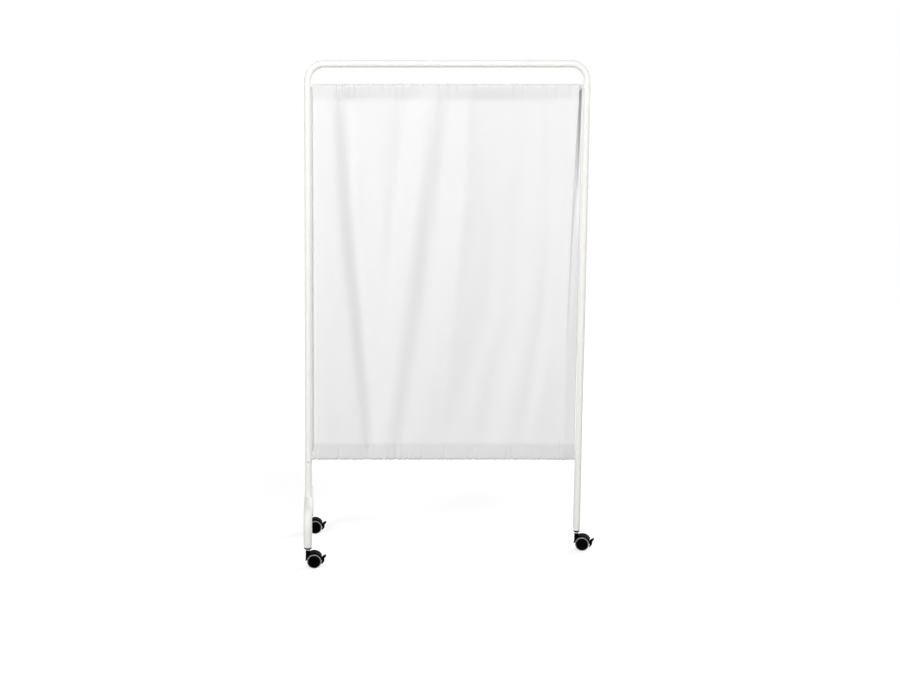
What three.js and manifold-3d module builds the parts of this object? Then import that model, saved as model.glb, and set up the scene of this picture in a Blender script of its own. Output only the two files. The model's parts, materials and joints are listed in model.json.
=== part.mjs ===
// Ward privacy screen on wheels: a bent tube frame with a hemmed curtain, on three braked casters.
// Lengths are in millimetres and angles in degrees. X runs to the right, Y away from the viewer and
// Z up. The origin is on the floor, under the middle of the whole screen's bounding box.

import * as THREE from 'three';
import { mergeVertices } from 'three/addons/utils/BufferGeometryUtils.js';
import Module from 'manifold-3d';

// Clearances that the pieces share
const seatGap = 0.3;
const cutOverrun = 2;

// Frame: left leg, top bar and right leg in one bent tube
const frameHeight = 1755;
const legSpacing = 975;
const tubeDiameter = 25;
const tubeWall = 1.5;
const cornerRadius = 58;

// Foot: an inverted U under the left leg, bent from thicker tube
const footTubeDiameter = 30;
const footTubeWall = 1.5;
const footHeight = 200;
const footSpacing = 440;
const footBendRadius = 45;

// Spigot that joins the left leg to the foot, and its screw; the spigot ends below the lower bush
const spigotWall = 2;
const spigotTopGap = 2;
const screwEdge = 6.5;
const screwShankDiameter = 4;
const screwShankLength = 8;
const screwHeadDiameter = 7;
const screwHeadThickness = 2;
const screwSocketDiameter = 3;
const screwSocketDepth = 1.2;

// Curtain rods and the bushes that hold them in the legs
const rodDiameter = 10;
const rodGrip = 6;
const bushWall = 1.7;
const bushFloor = 1.5;
const bushFlangeWidth = 1.3;
const bushFlangeThickness = 0.8;

// Curtain: it hangs below the frame's top, and its bottom edge is above the floor
const curtainTopDrop = 84;
const curtainBottomHeight = 336;
const clothThickness = 1.6;
const hemDepth = 47;
const pocketWebDepth = 3.2;
const foldDepth = 15;
const pleatDepth = 13;
const edgeBulge = 14;

// Caster: heights are above the floor, and reaches are from the stem's axis
const wheelDiameter = 50;
const wheelTrail = 22;
const wheelOuterFace = 23;
const wheelInnerFace = 6.5;
const tyreDepth = 4.2;
const tyreWidth = 12;
const tyreShoulder = 2.6;
const hubFaceDepth = 1.3;
const hubRecessDepth = 8;
const hubRecessWall = 3;
const hubCoreRadius = 6.5;
const axleDiameter = 6;
const axleCover = 3;
const stemDiameter = 10;
const stemBottomHeight = 30;
const stemShow = 4.7;
const stemGrip = 26;
const housingHeight = 60;
const bossDiameter = 15.5;
const bossBottomHeight = 26;
const bossChamfer = 1.2;
const fenderThickness = 3;
const fenderGap = 2.5;
const fenderHalfWidth = 21.5;
const fenderStartAngle = 28;
const fenderEndAngle = 176;
const webHalfWidth = 6;
const webHubRadius = 13;
const wheelSideRoom = 0.5;

// White insert in the tube end, and the black ring under it
const insertFlangeThickness = 7.7;
const insertFlangeInset = 0.8;
const insertTaper = 1.6;
const insertCover = 6;
const ringThickness = 5;
const ringInset = 1.4;
const ringTaper = 2.6;

// Brake lever: places are out from the axle and up from the axle
const leverPinOut = 20.5;
const leverPinUp = 3;
const leverPinDiameter = 4;
const leverEyeRadius = 4.5;
const leverEarRadius = 5;
const leverNeckHalfWidth = 3.9;
const leverPadHalfWidth = 11;
const leverPadReach = 36;
const leverPadGap = 2;
const leverPadTopUp = 12.5;
const leverPadBottomUp = -10.5;
const leverTipOut = 42;
const leverTipUp = 17.5;
const leverTabThickness = 4.5;

// How finely round shapes are divided
const tubeSides = 16;
const bendSteps = 6;
const wheelSides = 16;
const smallSides = 12;
const arcSteps = 9;
const curtainColumns = 28;
const pleatColumnShares = [0.1, 0.4, 1];
const curtainRowShares = [0, 0.07, 0.25, 0.5, 0.75, 0.93, 1];
const pocketSteps = 3;

// The tubes that casters fit into
const frameEnd = { diameter: tubeDiameter, wall: tubeWall };
const footEnd = { diameter: footTubeDiameter, wall: footTubeWall };

// Where the casters stand, and the way each one trails at rest, as an angle from +X towards +Y
const casters = [
  { name: 'right', x: legSpacing / 2, y: 0, heading: -13, tube: frameEnd },
  { name: 'front', x: -legSpacing / 2, y: -footSpacing / 2, heading: 0, tube: footEnd },
  { name: 'rear', x: -legSpacing / 2, y: footSpacing / 2, heading: 0, tube: footEnd },
];

// Each main fold of the curtain: its place at the top, middle and bottom as shares of the width from
// the left, its depth as a share of the fold depth (a valley is positive), and its width as a share.
const foldShares = [
  { path: [0.053, 0.109, 0.202], depth: -1.15, width: 0.053 },
  { path: [0.118, 0.167, 0.229], depth: 0.97, width: 0.031 },
  { path: [0.15, 0.225, 0.225], depth: 1.03, width: 0.046 },
  { path: [0.347, 0.303, 0.232], depth: 1.12, width: 0.04 },
  { path: [0.431, 0.342, 0.239], depth: -1.23, width: 0.066 },
  { path: [0.496, 0.436, 0.346], depth: 0.87, width: 0.042 },
  { path: [0.582, 0.543, 0.491], depth: -0.31, width: 0.03 },
  { path: [0.626, 0.664, 0.496], depth: 0.78, width: 0.052 },
  { path: [0.676, 0.736, 0.632], depth: 0.61, width: 0.056 },
  { path: [0.815, 0.761, 0.66], depth: 0.35, width: 0.052 },
  { path: [0.873, 0.886, 0.783], depth: 0.35, width: 0.028 },
  { path: [0.463, 0.441, 0.36], depth: -0.26, width: 0.028 },
  { path: [0.712, 0.896, 0.968], depth: 0.69, width: 0.075 },
];

// The pleat beside the right leg: its front edge as shares of the width, and how fast the cloth rises
// to that edge, as a power of the share of the way to it
const pleatPathShares = [0.986, 0.961, 0.951];
const pleatRisePower = 12;

// Where the cloth beside the pleat starts to stand forward, and where it stands fully forward
const edgeBulgeShares = [0.75, 0.97];

const steelWhite = { color: 0xf1f0ea, roughness: 0.38, metalness: 0 };
const clothWhite = { color: 0xf0f0f0, roughness: 0.9, metalness: 0 };
const plasticWhite = { color: 0xf4f3ee, roughness: 0.5, metalness: 0 };
const plasticBlack = { color: 0x0d0d0d, roughness: 0.45, metalness: 0 };
const rubberGrey = { color: 0x8c8a87, roughness: 0.75, metalness: 0 };
const zinc = { color: 0xc9cacb, roughness: 0.35, metalness: 0.9 };

const tubeRadius = tubeDiameter / 2;
const footTubeRadius = footTubeDiameter / 2;
const rodRadius = rodDiameter / 2;
const wheelRadius = wheelDiameter / 2;
const stemRadius = stemDiameter / 2;
const axleRadius = axleDiameter / 2;
const leverPinRadius = leverPinDiameter / 2;
const topBarHeight = frameHeight - tubeRadius;
const legInnerReach = legSpacing / 2 - tubeRadius;
const crossbarHeight = footHeight - footTubeRadius;
const curtainTopHeight = frameHeight - curtainTopDrop;
const rodInset = rodRadius + clothThickness + 2 * seatGap;
const rodHeights = { top: curtainTopHeight - rodInset, bottom: curtainBottomHeight + rodInset };
const bushHoleRadius = rodRadius + bushWall + 2 * seatGap;
const spigotTopHeight = rodHeights.bottom - bushHoleRadius - spigotTopGap;
const screwHeight = spigotTopHeight - screwEdge;
const ringTopHeight = housingHeight + stemShow + ringThickness;
const tubeEndHeight = ringTopHeight + insertFlangeThickness + 2 * seatGap;
const stemTopHeight = tubeEndHeight + stemGrip;

const wasm = await Module();
wasm.setup();

/** Turns a closed geometry into a solid that can be joined and cut. */
function solidFrom(geometry) {
  const bare = geometry.clone();
  bare.deleteAttribute('normal');
  bare.deleteAttribute('uv');
  const merged = mergeVertices(bare);
  const triVerts = new Uint32Array(merged.index.array);
  const vertProperties = merged.attributes.position.array;
  return new wasm.Manifold(new wasm.Mesh({ numProp: 3, vertProperties, triVerts }));
}

/** Turns a joined and cut solid back into a geometry. */
function geometryFrom(solid) {
  const mesh = solid.getMesh();
  const geometry = new THREE.BufferGeometry();
  const positions = new Float32Array(mesh.numVert * 3);
  for (let vertex = 0; vertex < mesh.numVert; vertex += 1) {
    for (let axis = 0; axis < 3; axis += 1) {
      positions[vertex * 3 + axis] = mesh.vertProperties[vertex * mesh.numProp + axis];
    }
  }
  geometry.setAttribute('position', new THREE.BufferAttribute(positions, 3));
  geometry.setIndex(new THREE.BufferAttribute(new Uint32Array(mesh.triVerts), 1));
  geometry.computeVertexNormals();
  return geometry;
}

/** Joins closed geometries and cuts others out of them. */
function joined(parts, cuts = []) {
  let solid = solidFrom(parts[0]);
  for (const part of parts.slice(1)) {
    solid = solid.add(solidFrom(part));
  }
  for (const cut of cuts) {
    solid = solid.subtract(solidFrom(cut));
  }
  return geometryFrom(solid);
}

/** A named mesh with its own material. */
function piece(name, geometry, finish) {
  const mesh = new THREE.Mesh(geometry, new THREE.MeshStandardMaterial(finish));
  mesh.name = name;
  return mesh;
}

/** A solid of revolution about Z, from pairs of radius and height that run upwards. */
function turned(profile, sides) {
  const points = profile.map(([radius, height]) => new THREE.Vector2(radius, height));
  const geometry = new THREE.LatheGeometry(points, sides, Math.PI / sides);
  return geometry.rotateX(Math.PI / 2);
}

/** A round bar along Z between two heights. */
function barAlongZ(radius, low, high, sides) {
  return turned([[0, low], [radius, low], [radius, high], [0, high]], sides);
}

/** A round bar along Y between two places. */
function barAlongY(radius, near, far, sides) {
  return barAlongZ(radius, -far, -near, sides).rotateX(Math.PI / 2);
}

/** A round bar along X between two places. */
function barAlongX(radius, near, far, sides) {
  return barAlongZ(radius, near, far, sides).rotateY(Math.PI / 2);
}

/** A closed skin through loops of points, where the last loop joins the first again. */
function skin(loops) {
  const count = loops[0].length;
  const positions = loops.flat().flatMap((point) => point.toArray());
  const index = [];
  for (let row = 0; row < loops.length; row += 1) {
    const next = (row + 1) % loops.length;
    for (let step = 0; step < count; step += 1) {
      const beside = (step + 1) % count;
      const corner = row * count + step;
      const across = row * count + beside;
      const above = next * count + step;
      const diagonal = next * count + beside;
      index.push(corner, diagonal, across, corner, above, diagonal);
    }
  }
  const geometry = new THREE.BufferGeometry();
  geometry.setAttribute('position', new THREE.Float32BufferAttribute(positions, 3));
  geometry.setIndex(index);
  geometry.computeVertexNormals();
  return geometry;
}

/** Places along a flat path of straight runs and round corners, each with its direction. */
function bentPath(corners, radius) {
  const stations = [];
  const first = corners[1].clone().sub(corners[0]).normalize();
  stations.push({ place: corners[0], direction: first });
  for (let corner = 1; corner < corners.length - 1; corner += 1) {
    const before = corners[corner].clone().sub(corners[corner - 1]).normalize();
    const after = corners[corner + 1].clone().sub(corners[corner]).normalize();
    const centre = corners[corner].clone();
    centre.addScaledVector(before, -radius).addScaledVector(after, radius);
    for (let step = 0; step <= bendSteps; step += 1) {
      const turn = (step / bendSteps) * (Math.PI / 2);
      const outward = after.clone().multiplyScalar(-Math.cos(turn));
      outward.addScaledVector(before, Math.sin(turn));
      const direction = before.clone().multiplyScalar(Math.cos(turn));
      direction.addScaledVector(after, Math.sin(turn));
      stations.push({ place: centre.clone().addScaledVector(outward, radius), direction });
    }
  }
  const last = corners[corners.length - 1];
  const ending = last.clone().sub(corners[corners.length - 2]).normalize();
  stations.push({ place: last, direction: ending });
  return stations;
}

/** A hollow tube bent along a flat path; the normal is square to the path's plane. */
function bentTube(corners, bendRadius, normal, radius, wall) {
  const stations = bentPath(corners, bendRadius);
  const loopAt = ({ place, direction }, size) => {
    const side = new THREE.Vector3().crossVectors(direction, normal);
    return Array.from({ length: tubeSides }, (_, step) => {
      const turn = ((step + 0.5) / tubeSides) * 2 * Math.PI;
      const point = place.clone().addScaledVector(side, size * Math.cos(turn));
      return point.addScaledVector(normal, size * Math.sin(turn));
    });
  };
  const outside = stations.map((station) => loopAt(station, radius));
  const inside = stations.map((station) => loopAt(station, radius - wall)).reverse();
  return skin([...outside, ...inside]);
}

/** The frame tube, coped at the left to stand on the foot, with holes for bushes and screw. */
function frameTube() {
  const half = legSpacing / 2;
  const corners = [
    new THREE.Vector3(-half, 0, crossbarHeight),
    new THREE.Vector3(-half, 0, topBarHeight),
    new THREE.Vector3(half, 0, topBarHeight),
    new THREE.Vector3(half, 0, tubeEndHeight),
  ];
  const normal = new THREE.Vector3(0, 1, 0);
  const tube = bentTube(corners, cornerRadius, normal, tubeRadius, tubeWall);
  const cope = barAlongY(footTubeRadius + seatGap, -tubeDiameter, tubeDiameter, tubeSides);
  cope.translate(-half, 0, crossbarHeight);
  const cuts = [cope];
  for (const height of Object.values(rodHeights)) {
    const left = barAlongX(bushHoleRadius, -half, -legInnerReach + cutOverrun, smallSides);
    const right = barAlongX(bushHoleRadius, legInnerReach - cutOverrun, half, smallSides);
    cuts.push(left.translate(0, 0, height), right.translate(0, 0, height));
  }
  const screwHole = barAlongY(screwShankDiameter / 2 + seatGap, -tubeDiameter, 0, smallSides);
  cuts.push(screwHole.translate(-half, 0, screwHeight));
  return piece('frame_tube', joined([tube], cuts), steelWhite);
}

/** The foot: an inverted U whose two ends take a caster each. */
function footTube() {
  const half = footSpacing / 2;
  const x = -legSpacing / 2;
  const corners = [
    new THREE.Vector3(x, -half, tubeEndHeight),
    new THREE.Vector3(x, -half, crossbarHeight),
    new THREE.Vector3(x, half, crossbarHeight),
    new THREE.Vector3(x, half, tubeEndHeight),
  ];
  const normal = new THREE.Vector3(1, 0, 0);
  const tube = bentTube(corners, footBendRadius, normal, footTubeRadius, footTubeWall);
  return piece('foot_tube', tube, steelWhite);
}

/** The spigot on the crossbar, inside the left leg. */
function footSpigot() {
  const outer = tubeRadius - tubeWall - seatGap;
  const inner = outer - spigotWall;
  const body = barAlongZ(outer, crossbarHeight, spigotTopHeight, tubeSides);
  const bore = barAlongZ(inner, crossbarHeight - cutOverrun, spigotTopHeight + cutOverrun, tubeSides);
  const cope = barAlongY(footTubeRadius + seatGap, -tubeDiameter, tubeDiameter, tubeSides);
  cope.translate(0, 0, crossbarHeight);
  const screwHole = barAlongY(screwShankDiameter / 2 + seatGap, -tubeDiameter, 0, smallSides);
  screwHole.translate(0, 0, screwHeight);
  const mesh = piece('foot_spigot', joined([body], [bore, cope, screwHole]), steelWhite);
  mesh.position.x = -legSpacing / 2;
  return mesh;
}

/** The screw that holds the left leg on the spigot. */
function spigotScrew() {
  const headBack = tubeRadius + seatGap;
  const profile = [
    [0, headBack - screwShankLength],
    [screwShankDiameter / 2, headBack - screwShankLength],
    [screwShankDiameter / 2, headBack],
    [screwHeadDiameter / 2, headBack],
    [screwHeadDiameter / 2, headBack + screwHeadThickness / 2],
    [screwSocketDiameter / 2 + screwHeadThickness / 2, headBack + screwHeadThickness],
    [screwSocketDiameter / 2, headBack + screwHeadThickness],
    [screwSocketDiameter / 2, headBack + screwHeadThickness - screwSocketDepth],
    [0, headBack + screwHeadThickness - screwSocketDepth],
  ];
  const mesh = piece('spigot_screw', turned(profile, smallSides).rotateX(Math.PI / 2), zinc);
  mesh.position.set(-legSpacing / 2, 0, screwHeight);
  return mesh;
}

/** A curtain rod, held in a bush at each end. */
function curtainRod(name, height) {
  const reach = legInnerReach + rodGrip;
  const mesh = piece(name, barAlongX(rodRadius, -reach, reach, smallSides), steelWhite);
  mesh.position.z = height;
  return mesh;
}

/** A plastic bush in a leg's inner side; side is -1 for the left leg and 1 for the right. */
function rodBush(name, side, height) {
  const bore = rodRadius + seatGap;
  const shank = bore + bushWall;
  const face = -seatGap - bushFlangeThickness;
  const profile = [
    [bore, face],
    [shank + bushFlangeWidth, face],
    [shank + bushFlangeWidth, -seatGap],
    [shank, -seatGap],
    [shank, rodGrip + seatGap + bushFloor],
    [0, rodGrip + seatGap + bushFloor],
    [0, rodGrip + seatGap],
    [bore, rodGrip + seatGap],
    [bore, face],
  ];
  const mesh = piece(name, turned(profile, smallSides).rotateY(side * (Math.PI / 2)), plasticWhite);
  mesh.position.set(side * legInnerReach, 0, height);
  return mesh;
}

/** A value on the smooth curve through three: the first at share 0, the next halfway, the last at 1. */
function through(values, share) {
  const [first, middle, last] = values;
  const bend = 4 * middle - first - last;
  return first * (1 - share) ** 2 + bend * share * (1 - share) + last * share ** 2;
}

/** How far the cloth's middle stands from the rods' plane; shares run to the right and down. */
function clothOffset(acrossShare, downShare) {
  let offset = 0;
  for (const fold of foldShares) {
    const away = (acrossShare - through(fold.path, downShare)) / fold.width;
    offset += fold.depth * Math.exp(-away * away);
  }
  return foldDepth * offset;
}

/** How free the cloth is of the rods: 0 at each seam and 1 halfway between them. */
function slackness(downShare) {
  return Math.sin(Math.PI * downShare) ** (1 / 2);
}

/** A cut through the curtain, a share of the way to the pleat or else a share of the way beyond it. */
function curtainSection(beforeShare, beyondShare) {
  const { top, bottom } = rodHeights;
  const seamTop = curtainTopHeight - hemDepth;
  const seamBottom = curtainBottomHeight + hemDepth;
  const innerRadius = (rodRadius + seatGap) / Math.cos(Math.PI / (2 * pocketSteps));
  const outerRadius = innerRadius + clothThickness;
  const edgeReach = legInnerReach - seatGap - bushFlangeThickness - seatGap;
  const ridge = beyondShare > 0 ? 0 : beforeShare ** pleatRisePower;
  const place = (y, z) => {
    const down = THREE.MathUtils.clamp((seamTop - z) / (seamTop - seamBottom), 0, 1);
    const pleat = edgeReach * (2 * through(pleatPathShares, down) - 1);
    const x = -edgeReach + (pleat + edgeReach) * beforeShare + (edgeReach - pleat) * beyondShare;
    const across = (x + edgeReach) / (2 * edgeReach);
    const nearEdge = THREE.MathUtils.smoothstep(across, ...edgeBulgeShares);
    const bulge = edgeBulge * Math.sin(Math.PI * down * down) * nearEdge;
    const folds = clothOffset(across, down) * (1 - beyondShare) - pleatDepth * ridge;
    return new THREE.Vector3(x, y + slackness(down) * folds - bulge, z);
  };
  const arc = (centre, radius, start) => Array.from({ length: pocketSteps + 1 }, (_, step) => {
    const turn = start + (step / pocketSteps) * Math.PI;
    return place(-radius * Math.cos(turn), centre + radius * Math.sin(turn));
  });
  const rows = curtainRowShares.map((share) => seamTop + (seamBottom - seamTop) * share);
  return {
    front: rows.map((z) => place(-clothThickness / 2, z)).reverse(),
    overTop: arc(top, outerRadius, 0),
    back: rows.map((z) => place(clothThickness / 2, z)),
    underBottom: arc(bottom, outerRadius, Math.PI),
    topPocket: [place(0, seamTop + pocketWebDepth), ...arc(top, innerRadius, 0)],
    bottomPocket: [place(0, seamBottom - pocketWebDepth), ...arc(bottom, innerRadius, Math.PI)],
  };
}

/**
 * Adds the faces of a strip between two chains of points, without those that shrink to a line. Each
 * pair of faces shares the edge from the chain's point to the other chain's next one, or with
 * crossed the other way, so that two strips back to back can bend along the same edges.
 */
function addStrip(index, chain, beside, crossed = false) {
  for (let step = 0; step < chain.length - 1; step += 1) {
    const next = step + 1;
    const faces = crossed ? [
      [chain[step], chain[next], beside[step]],
      [chain[next], beside[next], beside[step]],
    ] : [
      [chain[step], chain[next], beside[next]],
      [chain[step], beside[next], beside[step]],
    ];
    index.push(...faces.filter((face) => new Set(face).size === 3).flat());
  }
}

/** Pairs of chains that close a section's end between its outline and its pockets, facing -X. */
function endBands({ front, overTop, back, underBottom, topPocket, bottomPocket }) {
  return [
    [[bottomPocket[0], ...front, topPocket[0]], [bottomPocket[0], ...back.toReversed(), topPocket[0]]],
    [[front.at(-1), ...overTop, back[0]], [...topPocket, topPocket[0]]],
    [[back.at(-1), ...underBottom, front[0]], [...bottomPocket, bottomPocket[0]]],
  ];
}

/** The curtain: one cloth with a pocket round each rod, its main folds and the pleat at the right. */
function curtain() {
  const shares = Array.from({ length: curtainColumns }, (_, column) => column / (curtainColumns - 1));
  const sections = [
    ...shares.map((share) => curtainSection(share, 0)),
    ...pleatColumnShares.map((share) => curtainSection(1, share)),
  ];
  const positions = [];
  const numbered = sections.map((section) => Object.fromEntries(
    Object.entries(section).map(([name, chain]) => {
      const first = positions.length / 3;
      positions.push(...chain.flatMap((point) => point.toArray()));
      return [name, chain.map((_, step) => first + step)];
    }),
  ));
  const frontAndTop = ({ front, overTop, back }) => [...front, ...overTop, back[0]];
  const underneath = ({ back, underBottom, front }) => [back.at(-1), ...underBottom, front[0]];
  const index = [];
  for (let column = 0; column < numbered.length - 1; column += 1) {
    const [here, there] = [numbered[column], numbered[column + 1]];
    addStrip(index, frontAndTop(there), frontAndTop(here));
    addStrip(index, there.back, here.back, true);
    addStrip(index, underneath(there), underneath(here));
    for (const pocket of ['topPocket', 'bottomPocket']) {
      addStrip(index, [...here[pocket], here[pocket][0]], [...there[pocket], there[pocket][0]]);
    }
  }
  for (const [chain, beside] of endBands(numbered[0])) {
    addStrip(index, chain, beside);
  }
  for (const [chain, beside] of endBands(numbered.at(-1))) {
    addStrip(index, beside, chain);
  }
  const geometry = new THREE.BufferGeometry();
  geometry.setAttribute('position', new THREE.Float32BufferAttribute(positions, 3));
  geometry.setIndex(index);
  geometry.computeVertexNormals();
  return piece('curtain', geometry, clothWhite);
}

/** The white insert in a tube end, with a blind bore for the stem. */
function tubeInsert(caster) {
  const bore = stemRadius + seatGap;
  const shank = caster.tube.diameter / 2 - caster.tube.wall - seatGap;
  const flange = caster.tube.diameter / 2 - insertFlangeInset;
  const flangeTop = tubeEndHeight - seatGap;
  const flangeBottom = flangeTop - insertFlangeThickness;
  const boreTop = stemTopHeight + seatGap;
  const profile = [
    [bore, flangeBottom],
    [flange - insertTaper, flangeBottom],
    [flange, flangeTop - insertFlangeThickness / 2],
    [flange, flangeTop],
    [shank, flangeTop],
    [shank, boreTop + insertCover],
    [0, boreTop + insertCover],
    [0, boreTop],
    [bore, boreTop],
    [bore, flangeBottom],
  ];
  return piece(`insert_${caster.name}`, turned(profile, tubeSides), plasticWhite);
}

/** The black ring between the insert and the stem's open stretch. */
function dustRing(caster) {
  const bore = stemRadius + seatGap;
  const outer = caster.tube.diameter / 2 - ringInset;
  const bottom = ringTopHeight - ringThickness;
  const profile = [
    [bore, bottom],
    [outer - ringTaper, bottom],
    [outer, bottom + ringThickness / 2],
    [outer, ringTopHeight],
    [bore, ringTopHeight],
    [bore, bottom],
  ];
  return piece(`dust_ring_${caster.name}`, turned(profile, tubeSides), plasticBlack);
}

/** The stem: held in the insert above, and turning in the housing below. */
function stem(caster) {
  const bar = barAlongZ(stemRadius, stemBottomHeight, stemTopHeight, smallSides);
  return piece(`stem_${caster.name}`, bar, zinc);
}

/** A flat shape in the side view, out from the stem and up from the floor, made thick along Y. */
function slab(shape, halfWidth) {
  const options = { depth: 2 * halfWidth, bevelEnabled: false, curveSegments: arcSteps };
  const geometry = new THREE.ExtrudeGeometry(shape, options);
  return geometry.rotateX(Math.PI / 2).translate(0, halfWidth, 0);
}

/** The housing: boss for the stem, web between the wheels and fender over them, in one moulding. */
function casterHousing(caster) {
  const axleHeight = wheelRadius;
  const start = THREE.MathUtils.degToRad(fenderStartAngle);
  const end = THREE.MathUtils.degToRad(fenderEndAngle);
  const fenderInner = wheelRadius + fenderGap;
  const fenderOuter = fenderInner + fenderThickness;

  const fenderShape = new THREE.Shape();
  fenderShape.absarc(wheelTrail, axleHeight, fenderOuter, start, end, false);
  fenderShape.absarc(wheelTrail, axleHeight, fenderInner, end, start, true);
  const webShape = new THREE.Shape();
  webShape.absarc(wheelTrail, axleHeight, fenderInner + fenderThickness / 2, start, end, false);
  webShape.absarc(wheelTrail, axleHeight, webHubRadius, Math.PI, 2 * Math.PI, false);
  const ear = barAlongY(leverEarRadius, -webHalfWidth, webHalfWidth, smallSides);
  ear.translate(wheelTrail + leverPinOut, 0, axleHeight + leverPinUp);

  const boss = turned([
    [0, bossBottomHeight],
    [bossDiameter / 2, bossBottomHeight],
    [bossDiameter / 2, housingHeight - bossChamfer],
    [bossDiameter / 2 - bossChamfer, housingHeight],
    [0, housingHeight],
  ], tubeSides);

  const roomRadius = fenderInner - fenderGap / 2;
  const roomStart = wheelInnerFace - wheelSideRoom;
  const roomEnd = wheelOuterFace + cutOverrun;
  const rooms = [[-roomEnd, -roomStart], [roomStart, roomEnd]];
  const cuts = rooms.map(([near, far]) => barAlongY(roomRadius, near, far, wheelSides));
  for (const room of cuts) {
    room.translate(wheelTrail, 0, axleHeight);
  }
  const stemRoom = stemRadius + seatGap;
  cuts.push(barAlongZ(stemRoom, stemBottomHeight - seatGap, housingHeight + cutOverrun, smallSides));
  const axleBore = barAlongY(axleRadius + seatGap, -wheelOuterFace, wheelOuterFace, smallSides);
  cuts.push(axleBore.translate(wheelTrail, 0, axleHeight));
  const leverRoom = leverNeckHalfWidth + seatGap;
  const leverSlot = barAlongY(leverEarRadius + cutOverrun, -leverRoom, leverRoom, tubeSides);
  cuts.push(leverSlot.translate(wheelTrail + leverPinOut, 0, axleHeight + leverPinUp));
  const pinBore = barAlongY(leverPinRadius + seatGap, -wheelOuterFace, wheelOuterFace, smallSides);
  cuts.push(pinBore.translate(wheelTrail + leverPinOut, 0, axleHeight + leverPinUp));

  const parts = [slab(webShape, webHalfWidth), slab(fenderShape, fenderHalfWidth), ear, boss];
  return piece(`housing_${caster.name}`, joined(parts, cuts), plasticBlack);
}

/** The axle that both wheels turn on. */
function axle(caster) {
  const reach = wheelOuterFace - axleCover;
  const mesh = piece(`axle_${caster.name}`, barAlongY(axleRadius, -reach, reach, smallSides), zinc);
  mesh.position.set(wheelTrail, 0, wheelRadius);
  return mesh;
}

/** A ring or disc about the wheel's axle; its profile runs from the wheel's inner face outwards. */
function wheelTurned(profile, side) {
  return turned(profile, wheelSides).rotateX(side * (Math.PI / 2));
}

/** The radius to a many-sided wheel's corners that puts the middles of its flats at this radius. */
function flatsRadius(radius) {
  return radius / Math.cos(Math.PI / wheelSides);
}

/** A wheel's hub: its blind bore takes the axle, and its rim is grooved for the tyre. */
function wheelHub(name, side) {
  const bore = axleRadius + seatGap;
  const disc = flatsRadius(wheelRadius - tyreDepth + seatGap);
  const rim = flatsRadius(wheelRadius - tyreDepth - seatGap);
  const grooveEnd = wheelOuterFace - hubFaceDepth;
  const grooveStart = grooveEnd - tyreWidth - 2 * seatGap;
  const boreEnd = wheelOuterFace - axleCover + seatGap;
  const recess = wheelInnerFace + hubRecessDepth;
  const profile = [
    [bore, wheelInnerFace],
    [hubCoreRadius, wheelInnerFace],
    [hubCoreRadius, recess],
    [rim - hubRecessWall, recess],
    [rim - hubRecessWall, wheelInnerFace],
    [disc, wheelInnerFace],
    [disc, grooveStart],
    [rim, grooveStart],
    [rim, grooveEnd],
    [disc, grooveEnd],
    [disc - hubFaceDepth, wheelOuterFace],
    [0, wheelOuterFace],
    [0, boreEnd],
    [bore, boreEnd],
    [bore, wheelInnerFace],
  ];
  const mesh = piece(name, wheelTurned(profile, side), plasticBlack);
  mesh.position.set(wheelTrail, 0, wheelRadius);
  return mesh;
}

/** A wheel's tyre, which sits in the hub's groove. */
function wheelTyre(name, side) {
  const inner = flatsRadius(wheelRadius - tyreDepth);
  const outer = flatsRadius(wheelRadius);
  const far = wheelOuterFace - hubFaceDepth - seatGap;
  const near = far - tyreWidth;
  const profile = [
    [inner, near],
    [outer - tyreShoulder / 2, near],
    [outer, near + tyreShoulder],
    [outer, far - tyreShoulder],
    [outer - tyreShoulder / 2, far],
    [inner, far],
    [inner, near],
  ];
  const mesh = piece(name, wheelTurned(profile, side), rubberGrey);
  mesh.position.set(wheelTrail, 0, wheelRadius);
  return mesh;
}

/** The brake lever: an eye on the pin, a neck, a pad over both treads and a tab for the foot. */
function brakeLever(caster) {
  const padInner = wheelRadius + leverPadGap;
  const topTurn = Math.asin(leverPadTopUp / leverPadReach);
  const innerTop = Math.asin((leverPadTopUp - leverTabThickness) / padInner);
  const innerBottom = Math.asin(leverPadBottomUp / padInner);
  const tabRootOut = leverPadReach * Math.cos(topTurn) - leverTabThickness;
  const padCurveUp = leverPadTopUp - 2 * leverTabThickness;
  const padShape = new THREE.Shape();
  padShape.absarc(0, 0, padInner, innerTop, innerBottom, true);
  padShape.quadraticCurveTo(leverPadReach, leverPadBottomUp / 2, leverPadReach, padCurveUp);
  padShape.lineTo(leverPadReach, leverPadTopUp - leverTabThickness / 2);
  padShape.lineTo(leverTipOut, leverTipUp - leverTabThickness / 2);
  padShape.lineTo(leverTipOut - leverTabThickness / 4, leverTipUp + leverTabThickness / 4);
  padShape.lineTo(tabRootOut, leverPadTopUp);
  padShape.closePath();
  const neckShape = new THREE.Shape();
  const neckEnd = leverPadReach - leverEyeRadius;
  neckShape.absarc(leverPinOut, leverPinUp, leverEyeRadius, Math.PI / 2, 3 * (Math.PI / 2), false);
  neckShape.lineTo(neckEnd, leverPinUp - leverEyeRadius);
  neckShape.lineTo(neckEnd, leverPinUp + leverEyeRadius);
  neckShape.closePath();
  const bore = barAlongY(leverPinRadius + seatGap, -wheelOuterFace, wheelOuterFace, smallSides);
  bore.translate(leverPinOut, 0, leverPinUp);
  const parts = [slab(padShape, leverPadHalfWidth), slab(neckShape, leverNeckHalfWidth)];
  const mesh = piece(`brake_lever_${caster.name}`, joined(parts, [bore]), plasticBlack);
  mesh.position.set(wheelTrail, 0, wheelRadius);
  return mesh;
}

/** The pin that the brake lever turns on, held in the housing's two ears. */
function leverPin(caster) {
  const reach = webHalfWidth - seatGap;
  const bar = barAlongY(leverPinRadius, -reach, reach, smallSides);
  const mesh = piece(`lever_pin_${caster.name}`, bar, zinc);
  mesh.position.set(wheelTrail + leverPinOut, 0, wheelRadius + leverPinUp);
  return mesh;
}

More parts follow.
